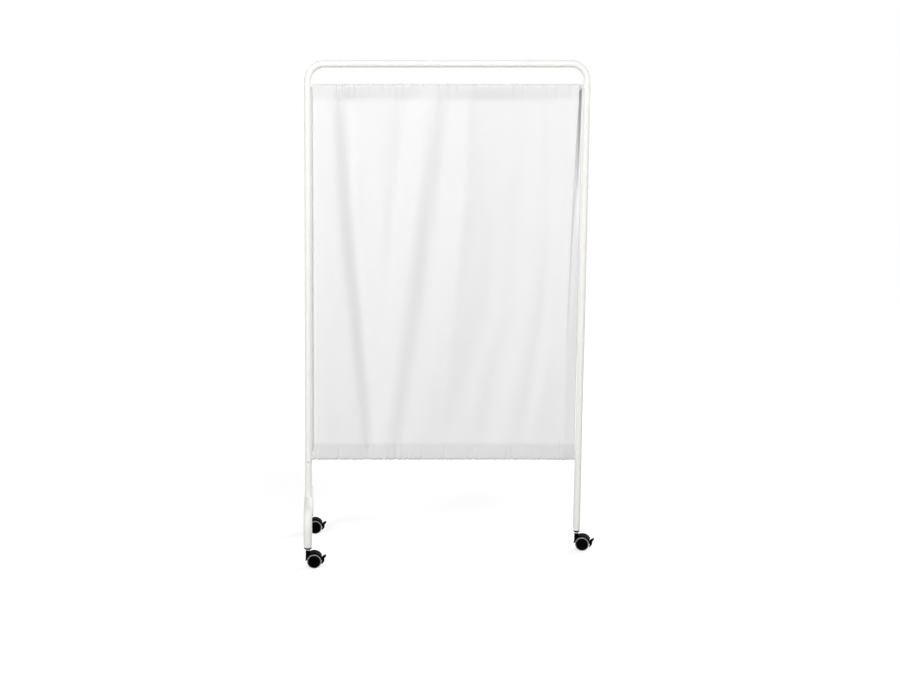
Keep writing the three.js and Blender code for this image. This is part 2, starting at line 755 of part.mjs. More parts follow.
/** One caster with the insert that holds it, at its place and heading. */
function casterAssembly(caster) {
  const assembly = new THREE.Group();
  assembly.position.set(caster.x, caster.y, 0);
  assembly.rotation.z = THREE.MathUtils.degToRad(caster.heading);
  assembly.add(tubeInsert(caster), dustRing(caster), stem(caster), casterHousing(caster), axle(caster));
  assembly.add(wheelHub(`hub_${caster.name}_near`, 1), wheelTyre(`tyre_${caster.name}_near`, 1));
  assembly.add(wheelHub(`hub_${caster.name}_far`, -1), wheelTyre(`tyre_${caster.name}_far`, -1));
  assembly.add(brakeLever(caster), leverPin(caster));
  return assembly;
}

const screen = new THREE.Group();
screen.add(frameTube(), footTube(), footSpigot(), spigotScrew());
for (const [level, height] of Object.entries(rodHeights)) {
  screen.add(curtainRod(`curtain_rod_${level}`, height));
  screen.add(rodBush(`rod_bush_${level}_left`, -1, height));
  screen.add(rodBush(`rod_bush_${level}_right`, 1, height));
}
screen.add(curtain());
for (const caster of casters) {
  screen.add(casterAssembly(caster));
}

const reach = new THREE.Box3().setFromObject(screen, true);
const middle = reach.getCenter(new THREE.Vector3());
screen.position.set(-middle.x, -middle.y, -reach.min.z);

const model = new THREE.Group();
model.add(screen);
export default model;
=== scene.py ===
import json
import logging
import math
from abc import ABC, abstractmethod
from dataclasses import dataclass, field
from enum import Enum

import bpy
import numpy as np
import numpy.typing as npt
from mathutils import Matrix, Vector


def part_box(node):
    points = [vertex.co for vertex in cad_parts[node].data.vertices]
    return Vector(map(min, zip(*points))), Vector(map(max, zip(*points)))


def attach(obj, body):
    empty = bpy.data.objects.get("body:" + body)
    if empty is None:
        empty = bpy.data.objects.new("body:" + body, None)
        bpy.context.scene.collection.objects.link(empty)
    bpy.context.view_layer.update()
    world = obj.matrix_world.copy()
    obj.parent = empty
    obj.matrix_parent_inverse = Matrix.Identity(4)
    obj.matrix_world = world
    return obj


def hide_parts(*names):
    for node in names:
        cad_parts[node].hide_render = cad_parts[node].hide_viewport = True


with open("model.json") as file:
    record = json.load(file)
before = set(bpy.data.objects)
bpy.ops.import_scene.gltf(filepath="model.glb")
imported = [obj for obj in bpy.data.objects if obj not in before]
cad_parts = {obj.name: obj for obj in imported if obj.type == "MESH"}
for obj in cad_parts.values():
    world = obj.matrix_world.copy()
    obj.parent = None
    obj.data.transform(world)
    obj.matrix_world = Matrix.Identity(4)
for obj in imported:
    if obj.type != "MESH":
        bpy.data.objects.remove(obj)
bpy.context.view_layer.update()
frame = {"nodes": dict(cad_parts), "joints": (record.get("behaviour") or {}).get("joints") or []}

Points = npt.NDArray[np.float64]
Faces = npt.NDArray[np.int64]
Colour = tuple[float, float, float]
Socket = bpy.types.NodeSocket

LOG = logging.getLogger("screen")
MM = 0.001
SEED = 7

# Room between a pin and its hole, and how far inside a slab's edge its flat side starts
FIT = 0.3 * MM
HAIR = 0.03 * MM

# ---- Surfaces ----


@dataclass
class Surface:
    """Points and the faces that join them.

    Attributes:
        points: One row of X, Y and Z for each point.
        quads: One row of four point numbers for each face.
        lids: Flat faces with more corners, as lists of point numbers.
    """

    points: Points
    quads: Faces
    lids: list[list[int]] = field(default_factory=list)


def together(*surfaces: Surface) -> Surface:
    """Puts surfaces into one, each with its point numbers moved past those before it."""
    starts = np.cumsum([0] + [len(s.points) for s in surfaces[:-1]])
    quads = [s.quads + start for s, start in zip(surfaces, starts)]
    lids = [[n + int(start) for n in lid] for s, start in zip(surfaces, starts) for lid in s.lids]
    return Surface(np.concatenate([s.points for s in surfaces]), np.concatenate(quads), lids)


def grid_quads(rows: int, columns: int, wrap_rows: bool, wrap_columns: bool) -> Faces:
    """Joins a grid of points: each face takes a point, its neighbour and the two in the next row.

    Args:
        rows: How many rows of points there are.
        columns: How many points a row has.
        wrap_rows: Whether the last row joins the first.
        wrap_columns: Whether the last point of a row joins its first.

    Returns:
        Four point numbers for each face.
    """
    row = np.arange(rows if wrap_rows else rows - 1)
    column = np.arange(columns if wrap_columns else columns - 1)
    r, c = np.meshgrid(row, column, indexing="ij")
    r_next, c_next = (r + 1) % rows, (c + 1) % columns
    corners = [r * columns + c, r * columns + c_next, r_next * columns + c_next, r_next * columns + c]
    return np.stack(corners, axis=-1).reshape(-1, 4)


def loops_surface(loops: Points, closed: bool) -> Surface:
    """A skin over closed loops of points.

    Args:
        loops: Loops, points of a loop, and X, Y and Z.
        closed: Whether the last loop joins the first; otherwise both ends get a flat lid.

    Returns:
        The skin, which faces out where the loops turn left about the way that they advance.
    """
    rows, columns = loops.shape[:2]
    quads = grid_quads(rows, columns, closed, True)
    first = list(range(columns))
    lids = [] if closed else [first[::-1], [n + (rows - 1) * columns for n in first]]
    return Surface(loops.reshape(-1, 3), quads, lids)


def rounded(corners: list[tuple[float, float]], radius: float | list[float], closed: bool = False,
            steps: int = 4) -> Points:
    """An outline with its corners rounded by parabolas.

    Each corner is replaced by the curve (1-t)^2 a + 2t(1-t) corner + t^2 b, where a and b lie on the
    corner's two sides, the same short way from it.

    Args:
        corners: The outline's corners.
        radius: How far from each corner its rounding starts, or one value for all.
        closed: Whether the last corner joins the first; otherwise both ends stay as they are.
        steps: How many pieces each rounding is divided into.

    Returns:
        The rounded outline's points.
    """
    at = np.array(corners, float)
    reach = np.broadcast_to(np.array(radius, float), (len(at),)).copy()
    before, after = np.roll(at, 1, axis=0) - at, np.roll(at, -1, axis=0) - at
    back, ahead = np.linalg.norm(before, axis=1), np.linalg.norm(after, axis=1)
    reach = np.minimum(reach, 0.49 * np.minimum(back, ahead))
    a, b = at + before * (reach / back)[:, None], at + after * (reach / ahead)[:, None]
    t = np.linspace(0, 1, steps + 1)[None, :, None]
    curve = (1 - t) ** 2 * a[:, None] + 2 * t * (1 - t) * at[:, None] + t**2 * b[:, None]
    if closed:
        return curve.reshape(-1, 2)
    return np.concatenate([at[:1], curve[1:-1].reshape(-1, 2), at[-1:]])


def lathe(profile: Points, sides: int = 64, closed: bool = False) -> Surface:
    """A solid of revolution about Z: each profile point goes round at its own radius and height.

    Args:
        profile: Radius and height of each point, upwards along the outer side.
        sides: How many steps a turn has.
        closed: Whether the profile is a ring that doesn't reach the axis.

    Returns:
        The turned surface.
    """
    turn = np.arange(sides) * (2 * np.pi / sides)
    radius, height = profile[:, :1], profile[:, 1:]
    loops = np.stack([radius * np.cos(turn), radius * np.sin(turn), height + 0 * turn], axis=-1)
    return loops_surface(loops, closed)


def slab(outline: Points, half_width: float, edge: float, steps: int = 4) -> Surface:
    """A flat shape made thick along Y, with rounded edges.

    The outline moves inwards along its own normals by edge * (1 - cos) while it moves out along Y by
    edge * sin, so that the edge is a quarter circle. One more loop a hair inside keeps the sides flat.

    Args:
        outline: Points in X and Z, turning left as seen from the -Y side.
        half_width: Half of its thickness.
        edge: Radius of its rounded edges.
        steps: How many pieces the rounding is divided into.

    Returns:
        The closed surface.
    """
    along = np.roll(outline, -1, axis=0) - np.roll(outline, 1, axis=0)
    along /= np.linalg.norm(along, axis=1)[:, None]
    outward = np.stack([along[:, 1], -along[:, 0]], axis=-1)
    turn = np.linspace(0, np.pi / 2, steps + 1)
    inset = np.append(edge * (1 - np.cos(turn)), edge + HAIR)
    place = np.append(half_width - edge * (1 - np.sin(turn)), half_width)
    insets = np.concatenate([inset[::-1], inset])
    places = np.concatenate([place[::-1], -place])
    flat = outline[None] - insets[:, None, None] * outward[None]
    loops = np.stack([flat[..., 0], np.broadcast_to(places[:, None], flat.shape[:2]), flat[..., 1]], axis=-1)
    return loops_surface(loops, False)


def about_y(surface: Surface, side: int = 1) -> Surface:
    """Turns a shape made about Z so that its top points to -Y for side 1, or to +Y for side -1."""
    x, y, z = surface.points.T
    return Surface(np.stack([x, -side * z, side * y], axis=-1), surface.quads, surface.lids)


def about_x(surface: Surface, side: int = 1) -> Surface:
    """Turns a shape made about Z so that its top points to +X for side 1, or to -X for side -1."""
    x, y, z = surface.points.T
    return Surface(np.stack([side * z, y, -side * x], axis=-1), surface.quads, surface.lids)


def shifted(surface: Surface, x: float = 0.0, y: float = 0.0, z: float = 0.0) -> Surface:
    """The same surface, moved."""
    return Surface(surface.points + np.array([x, y, z]), surface.quads, surface.lids)


def as_points(x: Points, y: Points, z: Points) -> Points:
    """Points from three arrays of coordinates that stretch to one shape."""
    return np.stack(np.broadcast_arrays(x, y, z), axis=-1)


# ---- Finishes ----


class MaterialSheet:
    """A material's node tree, with short ways to add nodes to it."""

    def __init__(self, name: str) -> None:
        """Makes the material.

        Args:
            name: The material's name.
        """
        self.material = bpy.data.materials.new(name)
        self.material.use_nodes = True
        self.tree = self.material.node_tree
        self.shader = self.tree.nodes["Principled BSDF"]

    def add(self, kind: str, inputs: dict | None = None, **settings: object) -> bpy.types.Node:
        """Adds a node.

        Args:
            kind: The node's type.
            inputs: Values or sockets for its inputs, by name or by number.
            settings: Its own options.

        Returns:
            The node.
        """
        node = self.tree.nodes.new(kind)
        for option, value in settings.items():
            setattr(node, option, value)
        for key, value in (inputs or {}).items():
            if isinstance(value, Socket):
                self.tree.links.new(value, node.inputs[key])
            else:
                node.inputs[key].default_value = value
        return node

    def noise(self, size: float, detail: float = 2.0, where: Socket | None = None) -> Socket:
        """Noise with features of a given size.

        Args:
            size: The features' size in metres.
            detail: How many finer layers it has.
            where: The coordinates, or None for the object's own.

        Returns:
            A socket whose value is about 0.5.
        """
        place = where or self.add("ShaderNodeTexCoord").outputs["Object"]
        inputs = {"Vector": place, "Scale": 1 / size, "Detail": detail}
        return self.add("ShaderNodeTexNoise", inputs).outputs["Fac"]

    def spread(self, value: Socket, low: float, high: float) -> Socket:
        """Stretches noise's middle range to run between two numbers."""
        inputs = {"Value": value, "From Min": 0.3, "From Max": 0.7, "To Min": low, "To Max": high}
        return self.add("ShaderNodeMapRange", inputs).outputs["Result"]

    def blend(self, share: Socket, one: object, other: object) -> Socket:
        """A colour between two, each given as a colour or a socket."""
        node = self.add("ShaderNodeMix", {"Factor": share}, data_type="RGBA")
        for number, colour in ((6, one), (7, other)):
            if isinstance(colour, Socket):
                self.tree.links.new(colour, node.inputs[number])
            else:
                node.inputs[number].default_value = (*colour, 1.0)
        return node.outputs[2]

    def paint(self, **sockets: object) -> None:
        """Sets or joins the shader's inputs; an underscore in a name stands for a space."""
        for name, value in sockets.items():
            target = self.shader.inputs[name.replace("_", " ")]
            if isinstance(value, Socket):
                self.tree.links.new(value, target)
            else:
                target.default_value = value

    def raise_by(self, height: Socket, depth: float, strength: float = 1.0) -> None:
        """Gives the surface relief.

        Args:
            height: The relief, from 0 to 1.
            depth: Its depth in metres.
            strength: The share of it that shows.
        """
        inputs = {"Height": height, "Distance": depth, "Strength": strength}
        if self.shader.inputs["Normal"].is_linked:
            inputs["Normal"] = self.shader.inputs["Normal"].links[0].from_socket
        bump = self.add("ShaderNodeBump", inputs)
        self.tree.links.new(bump.outputs["Normal"], self.shader.inputs["Normal"])


@dataclass(frozen=True)
class Finish(ABC):
    """A finish of one material slot.

    Attributes:
        name: The material's name.
        slot: The record's slot that it belongs to; not used in this script.
        colour: Its main colour.
        roughness: How matt it is, from 0 to 1.
    """

    name: str
    slot: str
    colour: Colour
    roughness: float

    def material(self) -> bpy.types.Material:
        """The finish's material, made the first time that it is asked for."""
        made = bpy.data.materials.get(self.name)
        if made is None:
            sheet = MaterialSheet(self.name)
            self.texture(sheet)
            made = sheet.material
        return made

    def shade(self, factor: float) -> Colour:
        """The main colour made darker or lighter by a factor."""
        return tuple(min(1.0, part * factor) for part in self.colour)

    @abstractmethod
    def texture(self, sheet: MaterialSheet) -> None:
        """Fills in the material's nodes."""


@dataclass(frozen=True)
class PowderCoat(Finish):
    """Baked powder paint: faintly uneven gloss over the small swells of an orange peel.

    Attributes:
        peel: Size of the swells.
        peel_depth: Their height.
    """

    peel: float = 1.4 * MM
    peel_depth: float = 0.007 * MM

    def texture(self, sheet: MaterialSheet) -> None:
        """Mixes two close whites by broad noise, and raises fine noise."""
        broad = sheet.noise(90 * MM, 3.0)
        sheet.paint(
            Base_Color=sheet.blend(sheet.spread(broad, 0.0, 1.0), self.colour, self.shade(0.985)),
            Roughness=sheet.spread(sheet.noise(12 * MM), self.roughness - 0.04, self.roughness + 0.06),
            Specular_IOR_Level=0.2,
        )
        sheet.raise_by(sheet.noise(self.peel, 1.0), self.peel_depth, 0.6)


@dataclass(frozen=True)
class WovenCloth(Finish):
    """Plain woven cloth: threads over and under each other, on coordinates along the cloth.

    Attributes:
        thread: Distance between threads.
        thread_depth: How far a thread stands out.
    """

    thread: float = 0.42 * MM
    thread_depth: float = 0.05 * MM

    def texture(self, sheet: MaterialSheet) -> None:
        """Multiplies one wave across the cloth by one along it, so that threads pass over in turn."""
        cloth = sheet.add("ShaderNodeUVMap", uv_map="cloth").outputs["UV"]
        split = sheet.add("ShaderNodeSeparateXYZ", {"Vector": cloth})
        waves = []
        for axis in ("X", "Y"):
            inputs = {0: split.outputs[axis], 1: math.pi / self.thread}
            turn = sheet.add("ShaderNodeMath", inputs, operation="MULTIPLY").outputs[0]
            waves.append(sheet.add("ShaderNodeMath", {0: turn}, operation="SINE").outputs[0])
        weave = sheet.add("ShaderNodeMath", {0: waves[0], 1: waves[1]}, operation="MULTIPLY").outputs[0]
        slubs = sheet.noise(2.2 * MM, 2.0, cloth)
        broad = sheet.noise(160 * MM, 3.0, cloth)
        base = sheet.blend(sheet.spread(broad, 0.0, 1.0), self.colour, self.shade(0.985))
        flecked = sheet.blend(sheet.spread(slubs, 0.0, 0.5), base, self.shade(0.97))
        # Painted shade: the stored value darkens the hems towards a darker shade of the cloth, for the light
        # that their double cloth lets through less and for the upper side of the top hem's turn round the
        # rod.
        layers = sheet.add("ShaderNodeAttribute", attribute_name="layers").outputs["Fac"]
        sheet.paint(
            Base_Color=sheet.blend(layers, flecked, self.shade(0.8)),
            Roughness=self.roughness,
            Specular_IOR_Level=0.25,
            Sheen_Weight=0.12,
            Sheen_Roughness=0.4,
        )
        sheet.raise_by(weave, self.thread_depth, 0.35)
        sheet.raise_by(slubs, 0.06 * MM, 0.4)


@dataclass(frozen=True)
class MouldedPlastic(Finish):
    """Injection-moulded plastic: fine spark-eroded grain and slightly uneven gloss.

    Attributes:
        gloss: How much light it mirrors.
        grain: Size of the grain.
        grain_depth: Its depth.
    """

    gloss: float = 0.4
    grain: float = 0.35 * MM
    grain_depth: float = 0.012 * MM

    def texture(self, sheet: MaterialSheet) -> None:
        """Raises fine noise, and varies colour and gloss by broader noise."""
        broad = sheet.noise(9 * MM, 3.0)
        sheet.paint(
            Base_Color=sheet.blend(sheet.spread(broad, 0.0, 1.0), self.colour, self.shade(1.25)),
            Roughness=sheet.spread(sheet.noise(4 * MM), self.roughness - 0.06, self.roughness + 0.08),
            Specular_IOR_Level=self.gloss,
        )
        sheet.raise_by(sheet.noise(self.grain, 2.0), self.grain_depth, 0.7)


@dataclass(frozen=True)
class SoftTyre(Finish):
    """Grey tread rubber, matt, with a little grime picked up from the floor.

    Attributes:
        grime: How much darker the grimy places are, as a factor.
    """

    grime: float = 0.72

    def texture(self, sheet: MaterialSheet) -> None:
        """Mixes in darker patches and raises a fine crumb."""
        patches = sheet.noise(7 * MM, 5.0)
        sheet.paint(
            Base_Color=sheet.blend(sheet.spread(patches, 0.0, 0.8), self.colour, self.shade(self.grime)),
            Roughness=sheet.spread(sheet.noise(3 * MM), self.roughness - 0.08, self.roughness + 0.1),
            Specular_IOR_Level=0.3,
        )
        sheet.raise_by(sheet.noise(0.6 * MM, 3.0), 0.03 * MM, 0.6)


@dataclass(frozen=True)
class ZincPlate(Finish):
    """Bright zinc on drawn steel: fine turning lines and soft cloudy patches.

    Attributes:
        line: Distance between turning lines.
    """

    line: float = 0.25 * MM

    def texture(self, sheet: MaterialSheet) -> None:
        """Varies a metal's colour and gloss by cloudy noise, and raises noise drawn out into lines."""
        cloud = sheet.noise(3 * MM, 4.0)
        place = sheet.add("ShaderNodeTexCoord").outputs["Object"]
        stretch = {"Vector": place, "Scale": (0.08, 0.08, 1.0)}
        drawn = sheet.add("ShaderNodeMapping", stretch).outputs["Vector"]
        sheet.paint(
            Base_Color=sheet.blend(sheet.spread(cloud, 0.0, 1.0), self.colour, self.shade(0.82)),
            Metallic=1.0,
            Roughness=sheet.spread(cloud, self.roughness - 0.06, self.roughness + 0.12),
        )
        sheet.raise_by(sheet.noise(self.line, 1.0, drawn), 0.01 * MM, 0.6)


WHITE_PAINT = PowderCoat("white_powder_coat", "white_paint", (0.872, 0.864, 0.835), 0.55)
CLOTH = WovenCloth("white_cloth", "curtain_cloth", (0.808, 0.808, 0.808), 0.92)
THREAD = MouldedPlastic("sewing_thread", "curtain_cloth", (0.8, 0.8, 0.8), 0.8, 0.2, 0.2 * MM)
WHITE_PLASTIC = MouldedPlastic("moulded_white_nylon", "white_plastic", (0.87, 0.865, 0.84), 0.48)
BLACK_PLASTIC = MouldedPlastic("moulded_black_nylon", "black_plastic", (0.0012, 0.0012, 0.0012), 0.55, 0.012)
TYRE_RUBBER = SoftTyre("grey_tyre_rubber", "grey_tyre", (0.3, 0.292, 0.284), 0.72)
ZINC = ZincPlate("zinc_plate", "zinc_steel", (0.66, 0.66, 0.67), 0.34)


def add_piece(name: str, surface: Surface, finish: Finish, body: str, stands_for: list[str],
              sharp: float = 32.0) -> bpy.types.Object:
    """Makes one piece, gives it its finish and puts it on its body.

    Args:
        name: The piece's name.
        surface: Its shape, in place.
        finish: Its finish.
        body: The body that it moves with.
        stands_for: The frame's nodes that it replaces.
        sharp: The angle in degrees past which an edge between faces shows.

    Returns:
        The piece.
    """
    mesh = bpy.data.meshes.new(name)
    mesh.from_pydata(surface.points.tolist(), [], surface.quads.tolist() + surface.lids)
    mesh.shade_smooth()
    mesh.set_sharp_from_angle(angle=math.radians(sharp))
    mesh.materials.append(finish.material())
    piece = bpy.data.objects.new(name, mesh)
    bpy.context.scene.collection.objects.link(piece)
    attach(piece, body)
    if stands_for:
        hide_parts(*stands_for)
    LOG.info("%s: %d points on %s", name, len(mesh.vertices), body)
    return piece


def middle(node: str) -> Points:
    """The middle of a frame node's box."""
    low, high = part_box(node)
    return np.array((low + high) / 2)


# ---- Tubes ----


@dataclass(frozen=True)
class BentTube:
    """A round tube along straight runs and quarter bends in one plane.

    Attributes:
        corners: Where the runs' centre lines would meet, with both ends, one row each.
        normal: Square to the plane that the tube lies in.
        radius: Its outer radius.
        wall: Its wall's thickness.
        bend: The bends' radius, to the centre line.
        sides: How many steps its section has.
        bend_steps: How many steps a bend has.
        lip_loops: How many loops the lip at an end has.
    """

    corners: Points
    normal: Points
    radius: float
    wall: float
    bend: float
    sides: int = 72
    bend_steps: int = 28
    lip_loops: int = 4

    def stations(self) -> tuple[Points, Points]:
        """The centre line's places and directions.

        In a bend the place is its centre plus the bend's radius times (sine times the way in, less
        cosine times the way out), and the direction is cosine times the way in plus sine times the
        way out.

        Returns:
            Places and directions, one row each.
        """
        runs = np.diff(self.corners, axis=0)
        ways = runs / np.linalg.norm(runs, axis=1)[:, None]
        before, after = ways[:-1, None], ways[1:, None]
        centre = self.corners[1:-1, None] - self.bend * before + self.bend * after
        turn = np.linspace(0, np.pi / 2, self.bend_steps + 1)[None, :, None]
        places = centre + self.bend * (np.sin(turn) * before - np.cos(turn) * after)
        headings = np.cos(turn) * before + np.sin(turn) * after
        places = np.concatenate([self.corners[:1], places.reshape(-1, 3), self.corners[-1:]])
        headings = np.concatenate([ways[:1], headings.reshape(-1, 3), ways[-1:]])
        return places, headings

    def rings(self, places: Points, headings: Points, radius: float) -> Points:
        """Loops round the centre line: place + radius * (side * cosine - normal * sine)."""
        side = np.cross(headings, self.normal)[:, None]
        turn = (np.arange(self.sides) * 2 * np.pi / self.sides)[None, :, None]
        around = side * np.cos(turn) - self.normal * np.sin(turn)
        return places[:, None] + radius * around

    def walls(self, lip: float) -> tuple[Points, Points]:
        """Outer and inner loops, with a small round lip at both ends.

        Args:
            lip: The lip's radius.

        Returns:
            Outer loops and inner loops, both from the first end to the last.
        """
        places, headings = self.stations()
        turn = np.linspace(0, np.pi / 2, self.lip_loops)
        drop = lip * (1 - np.sin(turn))[:, None]
        shrink = lip * (1 - np.cos(turn))
        first = places[:1] + headings[:1] * drop[::-1]
        last = places[-1:] - headings[-1:] * drop
        loops = range(self.lip_loops)
        starts = [self.rings(first[k : k + 1], headings[:1], self.radius - shrink[-1 - k]) for k in loops]
        ends = [self.rings(last[k : k + 1], headings[-1:], self.radius - shrink[k]) for k in loops]
        middles = self.rings(places[1:-1], headings[1:-1], self.radius)
        outer = np.concatenate([*starts, middles, *ends])
        inner = self.rings(places, headings, self.radius - self.wall)
        return outer, inner


@dataclass(frozen=True)
class ScreenFrame:
    """The tubes that carry the screen, the spigot's screw, and the rods with their bushes.

    Attributes:
        tube: Outer radius of the legs and the top bar.
        wall: Wall of all tubes.
        corner: Radius of the top corners.
        foot_tube: Outer radius of the foot's tube.
        foot_bend: Radius of the foot's bends.
        lip: Radius of the lip at a tube's ends.
        insert_rim: How far a tube's open end is above its insert's foot.
        weld: Radius of the weld's bead.
        rod: Radius of the curtain rods.
        screw_head: Radius of the screw's head.
        screw_rise: How far the head stands out.
        screw_shank: Radius of the screw's shank.
        screw_length: Length of its shank.
        socket: Half the width across the flats of the screw's socket.
        socket_depth: How deep the socket is.
    """

    tube: float = 12.5 * MM
    wall: float = 1.5 * MM
    corner: float = 58 * MM
    foot_tube: float = 15 * MM
    foot_bend: float = 45 * MM
    lip: float = 0.4 * MM
    insert_rim: float = 8 * MM
    weld: float = 1.5 * MM
    rod: float = 5 * MM
    screw_head: float = 3.5 * MM
    screw_rise: float = 2 * MM
    screw_shank: float = 2 * MM
    screw_length: float = 6 * MM
    socket: float = 1.4 * MM
    socket_depth: float = 1.2 * MM

    def leg_places(self) -> tuple[float, float, float, float]:
        """X of the left and right legs, Z of the foot's crossbar and Z of the top bar."""
        low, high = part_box("frame_tube")
        foot_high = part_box("foot_tube")[1]
        return low.x + self.tube, high.x - self.tube, foot_high.z - self.foot_tube, high.z - self.tube

    def build(self) -> None:
        """Makes every piece of the frame."""
        self.frame_tube()
        self.foot()
        self.screw()
        for level in ("top", "bottom"):
            self.rod_and_bushes(level)
        self.dress_spigot()

    def saddle(self, loop: Points, axis_height: float) -> Points:
        """Lowers a leg's loop onto the foot: Z is the axis plus the root of the foot's radius squared
        less the point's own distance from the leg's axis along X, squared."""
        x = loop[:, 0] - loop[:, 0].mean()
        lowered = loop.copy()
        lowered[:, 2] = axis_height + np.sqrt(self.foot_tube**2 - x**2)
        return lowered

    def frame_tube(self) -> None:
        """The bent frame tube, coped over the foot, and the bead of weld round that joint."""
        left, right, crossbar, bar = self.leg_places()
        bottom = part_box("insert_right")[0].z + self.insert_rim
        corners = np.array([(left, 0, crossbar), (left, 0, bar), (right, 0, bar), (right, 0, bottom)], float)
        tube = BentTube(corners, np.array([0.0, 1.0, 0.0]), self.tube, self.wall, self.corner)
        outer, inner = tube.walls(self.lip)
        outer = outer[tube.lip_loops :]
        outer = np.concatenate([self.saddle(outer[0], crossbar)[None], outer])
        inner[0] = self.saddle(inner[0], crossbar)
        surface = loops_surface(np.concatenate([outer, inner[::-1]]), True)
        add_piece("screen_frame_tube", surface, WHITE_PAINT, "root", ["frame_tube"])
        add_piece("saddle_weld", self.weld_bead(left, crossbar), WHITE_PAINT, "root", [])

    def weld_bead(self, x: float, crossbar: float) -> Surface:
        """A closed bead along the saddle: a small circle carried round it, swelling a little in steps.

        Args:
            x: The leg's place.
            crossbar: Height of the foot's axis.

        Returns:
            The bead.
        """
        turn = np.linspace(0, 2 * np.pi, 145)[:-1, None]
        around = np.linspace(0, 2 * np.pi, 13)[:-1][None]
        reach = self.tube + 0.2 * MM
        size = self.weld * (1 + 0.12 * np.abs(np.sin(18 * turn)))
        radius = reach + size * np.cos(around)
        height = crossbar + np.sqrt(self.foot_tube**2 - (reach * np.cos(turn)) ** 2) + size * np.sin(around)
        loops = as_points(x + radius * np.cos(turn), radius * np.sin(turn), height)
        return loops_surface(loops[:, ::-1], True)

    def foot(self) -> None:
        """The foot's inverted U."""
        low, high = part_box("foot_tube")
        x = (low.x + high.x) / 2
        near, far, bar = low.y + self.foot_tube, high.y - self.foot_tube, high.z - self.foot_tube
        corners = np.array([(x, near, low.z), (x, near, bar), (x, far, bar), (x, far, low.z)], float)
        tube = BentTube(corners, np.array([1.0, 0.0, 0.0]), self.foot_tube, self.wall, self.foot_bend)
        outer, inner = tube.walls(self.lip)
        surface = loops_surface(np.concatenate([outer, inner[::-1]]), True)
        add_piece("foot_crossbar_tube", surface, WHITE_PAINT, "root", ["foot_tube"])

    def screw(self) -> None:
        """A button-head screw; its socket's radius is the flat's distance over the cosine of the turn
        within each sixth, which makes a hexagon."""
        sides = 48
        dome = rounded([(self.screw_head, 0), (self.screw_head, 0.5 * self.screw_rise),
                        (self.socket + 0.8 * MM, self.screw_rise), (self.socket + 0.4 * MM, self.screw_rise)],
                       0.9 * MM)
        stem = np.array([(self.screw_shank, -self.screw_length), (self.screw_shank, 0.0)])
        head = lathe(np.concatenate([stem, dome]), sides)
        turn = np.arange(sides) * (2 * np.pi / sides)
        hexagon = self.socket / np.cos(turn % (np.pi / 3) - np.pi / 6)
        mouth = as_points(hexagon * np.cos(turn), hexagon * np.sin(turn), np.full(sides, self.screw_rise))
        floor = mouth - np.array([0, 0, self.socket_depth])
        loops = np.concatenate([head.points.reshape(-1, sides, 3), mouth[None], floor[None]])
        surface = about_y(loops_surface(loops, False))
        place = middle("spigot_screw")
        surface = shifted(surface, place[0], -(self.tube + FIT), place[2])
        add_piece("button_head_screw", surface, ZINC, "root", ["spigot_screw"])

    def rod_and_bushes(self, level: str) -> None:
        """One curtain rod with chamfered ends, and the bush at each end of it.

        Args:
            level: Which rod, top or bottom.
        """
        node = f"curtain_rod_{level}"
        low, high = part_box(node)
        height, half = middle(node)[2], (high.x - low.x) / 2
        end = self.rod - 1 * MM
        profile = rounded([(end, -half), (self.rod, -half), (self.rod, half), (end, half)], 0.8 * MM)
        centre = (low.x + high.x) / 2
        rod = shifted(about_x(lathe(profile, 40)), centre, 0, height)
        add_piece(f"hem_rod_{level}", rod, WHITE_PAINT, "root", [node])
        for side, name in ((-1, "left"), (1, "right")):
            bush = f"rod_bush_{level}_{name}"
            low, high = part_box(bush)
            face = high.x if side < 0 else low.x
            bore, shank, flange = 5.3 * MM, 7 * MM, 8.3 * MM
            depth, rim = high.x - low.x, 0.8 * MM
            outline = [(bore, 0), (flange, 0), (flange, rim), (shank, rim), (shank, depth), (bore, depth)]
            ring = rounded(outline, 0.35 * MM, closed=True)
            surface = shifted(about_x(lathe(ring, 48, closed=True), side), face, 0, height)
            add_piece(f"rod_socket_{level}_{name}", surface, WHITE_PLASTIC, "root", [bush])

    @staticmethod
    def dress_spigot() -> None:
        """The spigot stays as the frame has it, inside the leg, and is painted."""
        node = frame["nodes"]["foot_spigot"]
        node.data.materials.clear()
        node.data.materials.append(WHITE_PAINT.material())


# ---- Curtain ----


@dataclass(frozen=True)
class Fold:
    """A long soft fold of the cloth.

    Attributes:
        path_share: Its place at the top, middle and bottom, as shares of the width from the left.
        depth_share: Its depth as a share of the fold depth; a valley is positive.
        width_share: Its width as a share of the curtain's.
    """

    path_share: tuple[float, float, float]
    depth_share: float
    width_share: float


class HemEnd(Enum):
    """The hem that a crease starts from."""

    TOP = "top"
    BOTTOM = "bottom"


@dataclass(frozen=True)
class Crease:
    """A short sharp crease that runs from a rod into the cloth.

    Attributes:
        hem: The hem that it starts from.
        place_share: Its place, as a share of the width from the left.
        depth: How far it goes in.
        length: How far down, or up, it reaches.
        slant_share: How far it moves to the right over its length, as a share of the width.
        width: Its half width.
    """

    hem: HemEnd
    place_share: float
    depth: float
    length: float
    slant_share: float
    width: float


FOLDS = (
    Fold((0.053, 0.109, 0.202), -1.15, 0.053),
    Fold((0.118, 0.167, 0.229), 0.97, 0.031),
    Fold((0.15, 0.225, 0.225), 1.03, 0.046),
    Fold((0.347, 0.303, 0.232), 1.12, 0.04),
    Fold((0.431, 0.342, 0.239), -1.23, 0.066),
    Fold((0.496, 0.436, 0.346), 0.87, 0.042),
    Fold((0.582, 0.543, 0.491), -0.31, 0.03),
    Fold((0.626, 0.664, 0.496), 0.65, 0.052),
    Fold((0.676, 0.736, 0.632), 0.5, 0.056),
    Fold((0.815, 0.761, 0.66), 0.35, 0.052),
    Fold((0.873, 0.886, 0.783), 0.35, 0.028),
    Fold((0.463, 0.441, 0.36), -0.26, 0.028),
    Fold((0.712, 0.896, 0.968), 0.69, 0.075),
)

